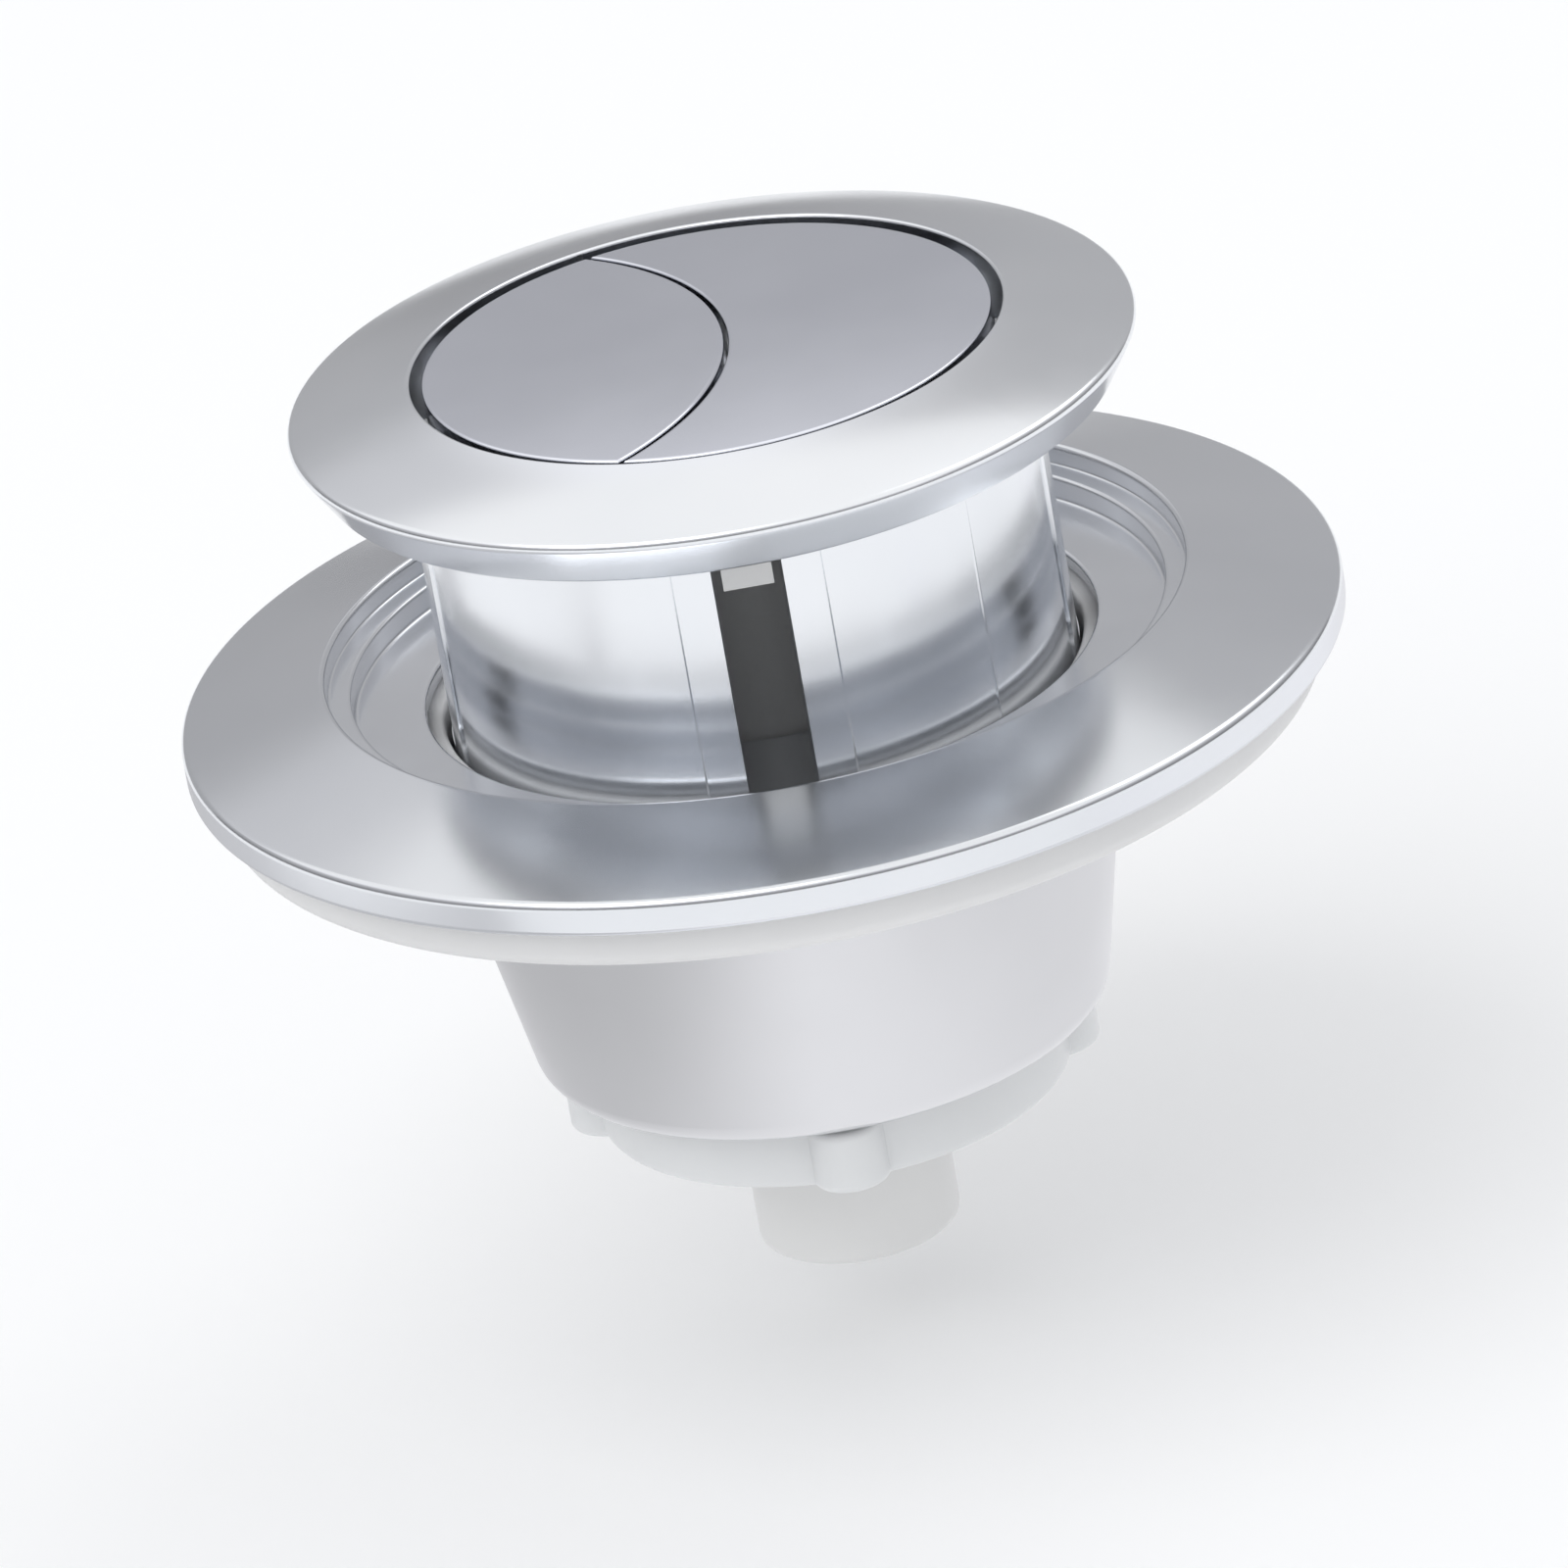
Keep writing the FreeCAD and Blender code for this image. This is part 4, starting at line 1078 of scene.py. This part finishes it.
@dataclass
class Studio:
    """Floor, light, reflected cards and the camera at the photograph's angle."""

    elevation: float = 24.0
    roll: float = 10.0
    distance: float = 1.0
    frame_width: float = 0.094
    sensor: float = 36.0
    background: float = 1.0
    fill: float = 0.84
    floor_drop: float = 0.0063
    cool: float = 1.03

    def build_world(self) -> None:
        """A white surround for the eye and for metal, and a softer one that lights the object."""
        world = bpy.data.worlds.new("studio")
        bpy.context.scene.world = world
        world.use_nodes = True
        tree = world.node_tree
        tree.nodes.clear()
        path = tree.nodes.new("ShaderNodeLightPath")
        either = tree.nodes.new("ShaderNodeMath")
        either.operation = "MAXIMUM"
        either_more = tree.nodes.new("ShaderNodeMath")
        either_more.operation = "MAXIMUM"
        tree.links.new(path.outputs["Is Camera Ray"], either.inputs[0])
        tree.links.new(path.outputs["Is Glossy Ray"], either.inputs[1])
        tree.links.new(either.outputs[0], either_more.inputs[0])
        tree.links.new(path.outputs["Is Transmission Ray"], either_more.inputs[1])
        seen = tree.nodes.new("ShaderNodeBackground")
        seen.inputs["Color"].default_value = (1, 1, 1, 1)
        seen.inputs["Strength"].default_value = self.background
        light = tree.nodes.new("ShaderNodeBackground")
        light.inputs["Color"].default_value = (0.97, 0.98, 1.0, 1)
        light.inputs["Strength"].default_value = self.fill
        mix = tree.nodes.new("ShaderNodeMixShader")
        output = tree.nodes.new("ShaderNodeOutputWorld")
        tree.links.new(either_more.outputs[0], mix.inputs["Fac"])
        tree.links.new(light.outputs[0], mix.inputs[1])
        tree.links.new(seen.outputs[0], mix.inputs[2])
        tree.links.new(mix.outputs[0], output.inputs["Surface"])

    def build_floor(self) -> None:
        """A pale floor that fades into the surround, low enough for the rods when they are pressed."""
        low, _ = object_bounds()
        span = 4.0
        bpy.ops.mesh.primitive_plane_add(size=span, location=(0, 0, low[2] - self.floor_drop))
        floor = bpy.context.object
        floor.name = "studio_floor"
        graph = NodeGraph("floor_paint")
        graph.tint(graph.noise(2.0), (0.93, 0.93, 0.93), (0.94, 0.94, 0.94))
        graph.set(Roughness=0.9, Specular_IOR_Level=0.0)
        floor.data.materials.append(graph.material)
        floor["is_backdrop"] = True

    def around(self, azimuth: float, elevation: float, distance: float) -> Vector:
        """A place round the object: azimuth in degrees from +X towards +Y, and elevation in degrees."""
        a, e = math.radians(azimuth), math.radians(elevation)
        return Vector((math.cos(a) * math.cos(e), math.sin(a) * math.cos(e), math.sin(e))) * distance

    def build_ramp(self, tree: bpy.types.NodeTree, steps: Sequence[tuple[float, float]]) -> bpy.types.Node:
        """A ramp of slightly cool greys through pairs of place and grey, eased between them."""
        ramp = tree.nodes.new("ShaderNodeValToRGB")
        ramp.color_ramp.interpolation = "EASE"
        elements = ramp.color_ramp.elements
        while len(elements) < len(steps):
            elements.new(0.5)
        for element, (position, grey) in zip(elements, steps):
            element.position = position
            element.color = (grey, grey, grey * self.cool, 1)
        return ramp

    def build_card(
        self, name: str, place: Vector, facing: Vector, size: tuple[float, float],
        tones: Sequence[tuple[float, float]], upright: bool = False,
        share: Sequence[tuple[float, float]] = (), base: float = 0.46,
    ) -> None:
        """A card that only metal sees, with a soft gradient of grey across or up it.

        Args:
            name: the card's name.
            place: the card's middle, in metres.
            facing: the direction that is square to the card.
            size: its width and height, in metres.
            tones: pairs of place from 0 to 1 and grey, in rising order.
            upright: whether the gradient runs up the card instead of across it.
            share: pairs of place across the card and the share of the gradient there.
            base: the grey that takes up the rest of the share.
        """
        bpy.ops.mesh.primitive_plane_add(size=1, location=place)
        card = bpy.context.object
        card.name = name
        card.scale = (*size, 1)
        card.rotation_euler = facing.to_track_quat("Z", "Y").to_euler()
        material = bpy.data.materials.new(f"{name}_tone")
        material.use_nodes = True
        tree = material.node_tree
        tree.nodes.clear()
        coordinates = tree.nodes.new("ShaderNodeTexCoord")
        parts = tree.nodes.new("ShaderNodeSeparateXYZ")
        ramp = self.build_ramp(tree, tones)
        glow = tree.nodes.new("ShaderNodeEmission")
        output = tree.nodes.new("ShaderNodeOutputMaterial")
        tree.links.new(coordinates.outputs["UV"], parts.inputs[0])
        tree.links.new(parts.outputs["Y" if upright else "X"], ramp.inputs["Fac"])
        tree.links.new(ramp.outputs["Color"], glow.inputs["Color"])
        tree.links.new(glow.outputs[0], output.inputs["Surface"])
        if share:
            rest = tree.nodes.new("ShaderNodeEmission")
            rest.inputs["Color"].default_value = (base, base, base * self.cool, 1)
            across = self.build_ramp(tree, share)
            tree.links.new(parts.outputs["X"], across.inputs["Fac"])
            mix = tree.nodes.new("ShaderNodeMixShader")
            tree.links.new(across.outputs["Color"], mix.inputs["Fac"])
            tree.links.new(rest.outputs[0], mix.inputs[1])
            tree.links.new(glow.outputs[0], mix.inputs[2])
            tree.links.new(mix.outputs[0], output.inputs["Surface"])
        card.data.materials.append(material)
        card.visible_camera = False
        card.visible_diffuse = False
        card.visible_shadow = False
        card.visible_transmission = False
        card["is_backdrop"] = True

    def build_light(self, name: str, place: Vector, power: float, size: float) -> None:
        """A square soft light that faces the object."""
        data = bpy.data.lights.new(name, "AREA")
        data.energy = power
        data.size = size
        light = bpy.data.objects.new(name, data)
        light.location = place
        light.rotation_euler = place.to_track_quat("Z", "Y").to_euler()
        bpy.context.scene.collection.objects.link(light)

    def build_camera(self) -> None:
        """A long lens at the photograph's elevation, rolled so that the axis leans left."""
        low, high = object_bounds()
        middle = (Vector(low) + Vector(high)) / 2
        e = math.radians(self.elevation)
        away = Vector((0, -math.cos(e), math.sin(e)))
        data = bpy.data.cameras.new("camera")
        data.lens = self.sensor * self.distance / self.frame_width
        data.clip_start = 0.05
        camera = bpy.data.objects.new("camera", data)
        facing = away.to_track_quat("Z", "Y").to_matrix().to_4x4()
        roll = Matrix.Rotation(math.radians(-self.roll), 4, "Z")
        camera.matrix_world = Matrix.Translation(middle + away * self.distance) @ facing @ roll
        bpy.context.scene.collection.objects.link(camera)
        bpy.context.scene.camera = camera

    def build(self) -> None:
        """Sets up the whole studio."""
        bpy.context.scene.view_settings.view_transform = "Standard"
        self.build_world()
        self.build_floor()
        self.build_camera()
        self.build_light("key_light", Vector((-0.8, -0.9, 1.6)), 12.5, 1.6)
        self.build_light("rim_light", Vector((1.0, 0.8, 1.4)), 3.0, 1.0)
        back_share = [(0.40, 0.0), (0.44, 0.3), (0.485, 1.0), (0.55, 1.0), (0.60, 0.35)]
        side_tones = [(0.0, 0.18), (0.35, 0.25), (0.62, 0.45), (1.0, 1.0)]
        back_tones = [(0.0, 0.20), (0.25, 0.33), (0.60, 0.41), (0.66, 0.44), (0.77, 1.0)]
        for side, azimuth in (("back", 90), ("left", 180), ("right", 0), ("front", 270)):
            place = self.around(azimuth, 14, 0.8)
            tones, share = (back_tones, back_share) if side == "back" else (side_tones, ())
            self.build_card(f"{side}_card", place, place, (1.6, 0.9), tones, True, share)
        low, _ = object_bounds()
        above_floor = low[2] - self.floor_drop + 0.0003
        # Painted shade: a grey sheet that only metal sees, laid just over the floor, so that the cup reflects a darker
        # floor on one side.
        self.build_card("floor_shade_card", Vector((0, 0.01, above_floor)), Vector((0, 0, 1)), (0.24, 0.18),
                        [(0.0, 1.0), (0.28, 0.84), (0.5, 0.95), (0.72, 0.58), (1.0, 0.66)])


def dress_carriers(frame: dict, palette: Palette) -> None:
    """Gives the white carriers, which stay as the frame has them, their moulded finish."""
    for node in ("full_carrier", "half_carrier"):
        carrier = frame["nodes"][node]
        carrier.data.materials.clear()
        carrier.data.materials.append(palette[Finish.WHITE])
        LOG.info("%s dressed", node)


def main() -> None:
    """Loads the frame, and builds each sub-assembly and the studio."""
    logging.basicConfig(level=logging.INFO, format="%(name)s: %(message)s")
    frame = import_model()
    palette = Palette()
    thread = Thread()
    Housing(palette, thread).build()
    Button(palette, Flush.FULL).build()
    Button(palette, Flush.HALF).build()
    ClampStack(palette).build()
    LugNut(palette, thread).build()
    dress_carriers(frame, palette)
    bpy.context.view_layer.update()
    Studio().build()


if __name__ == "__main__":
    main()
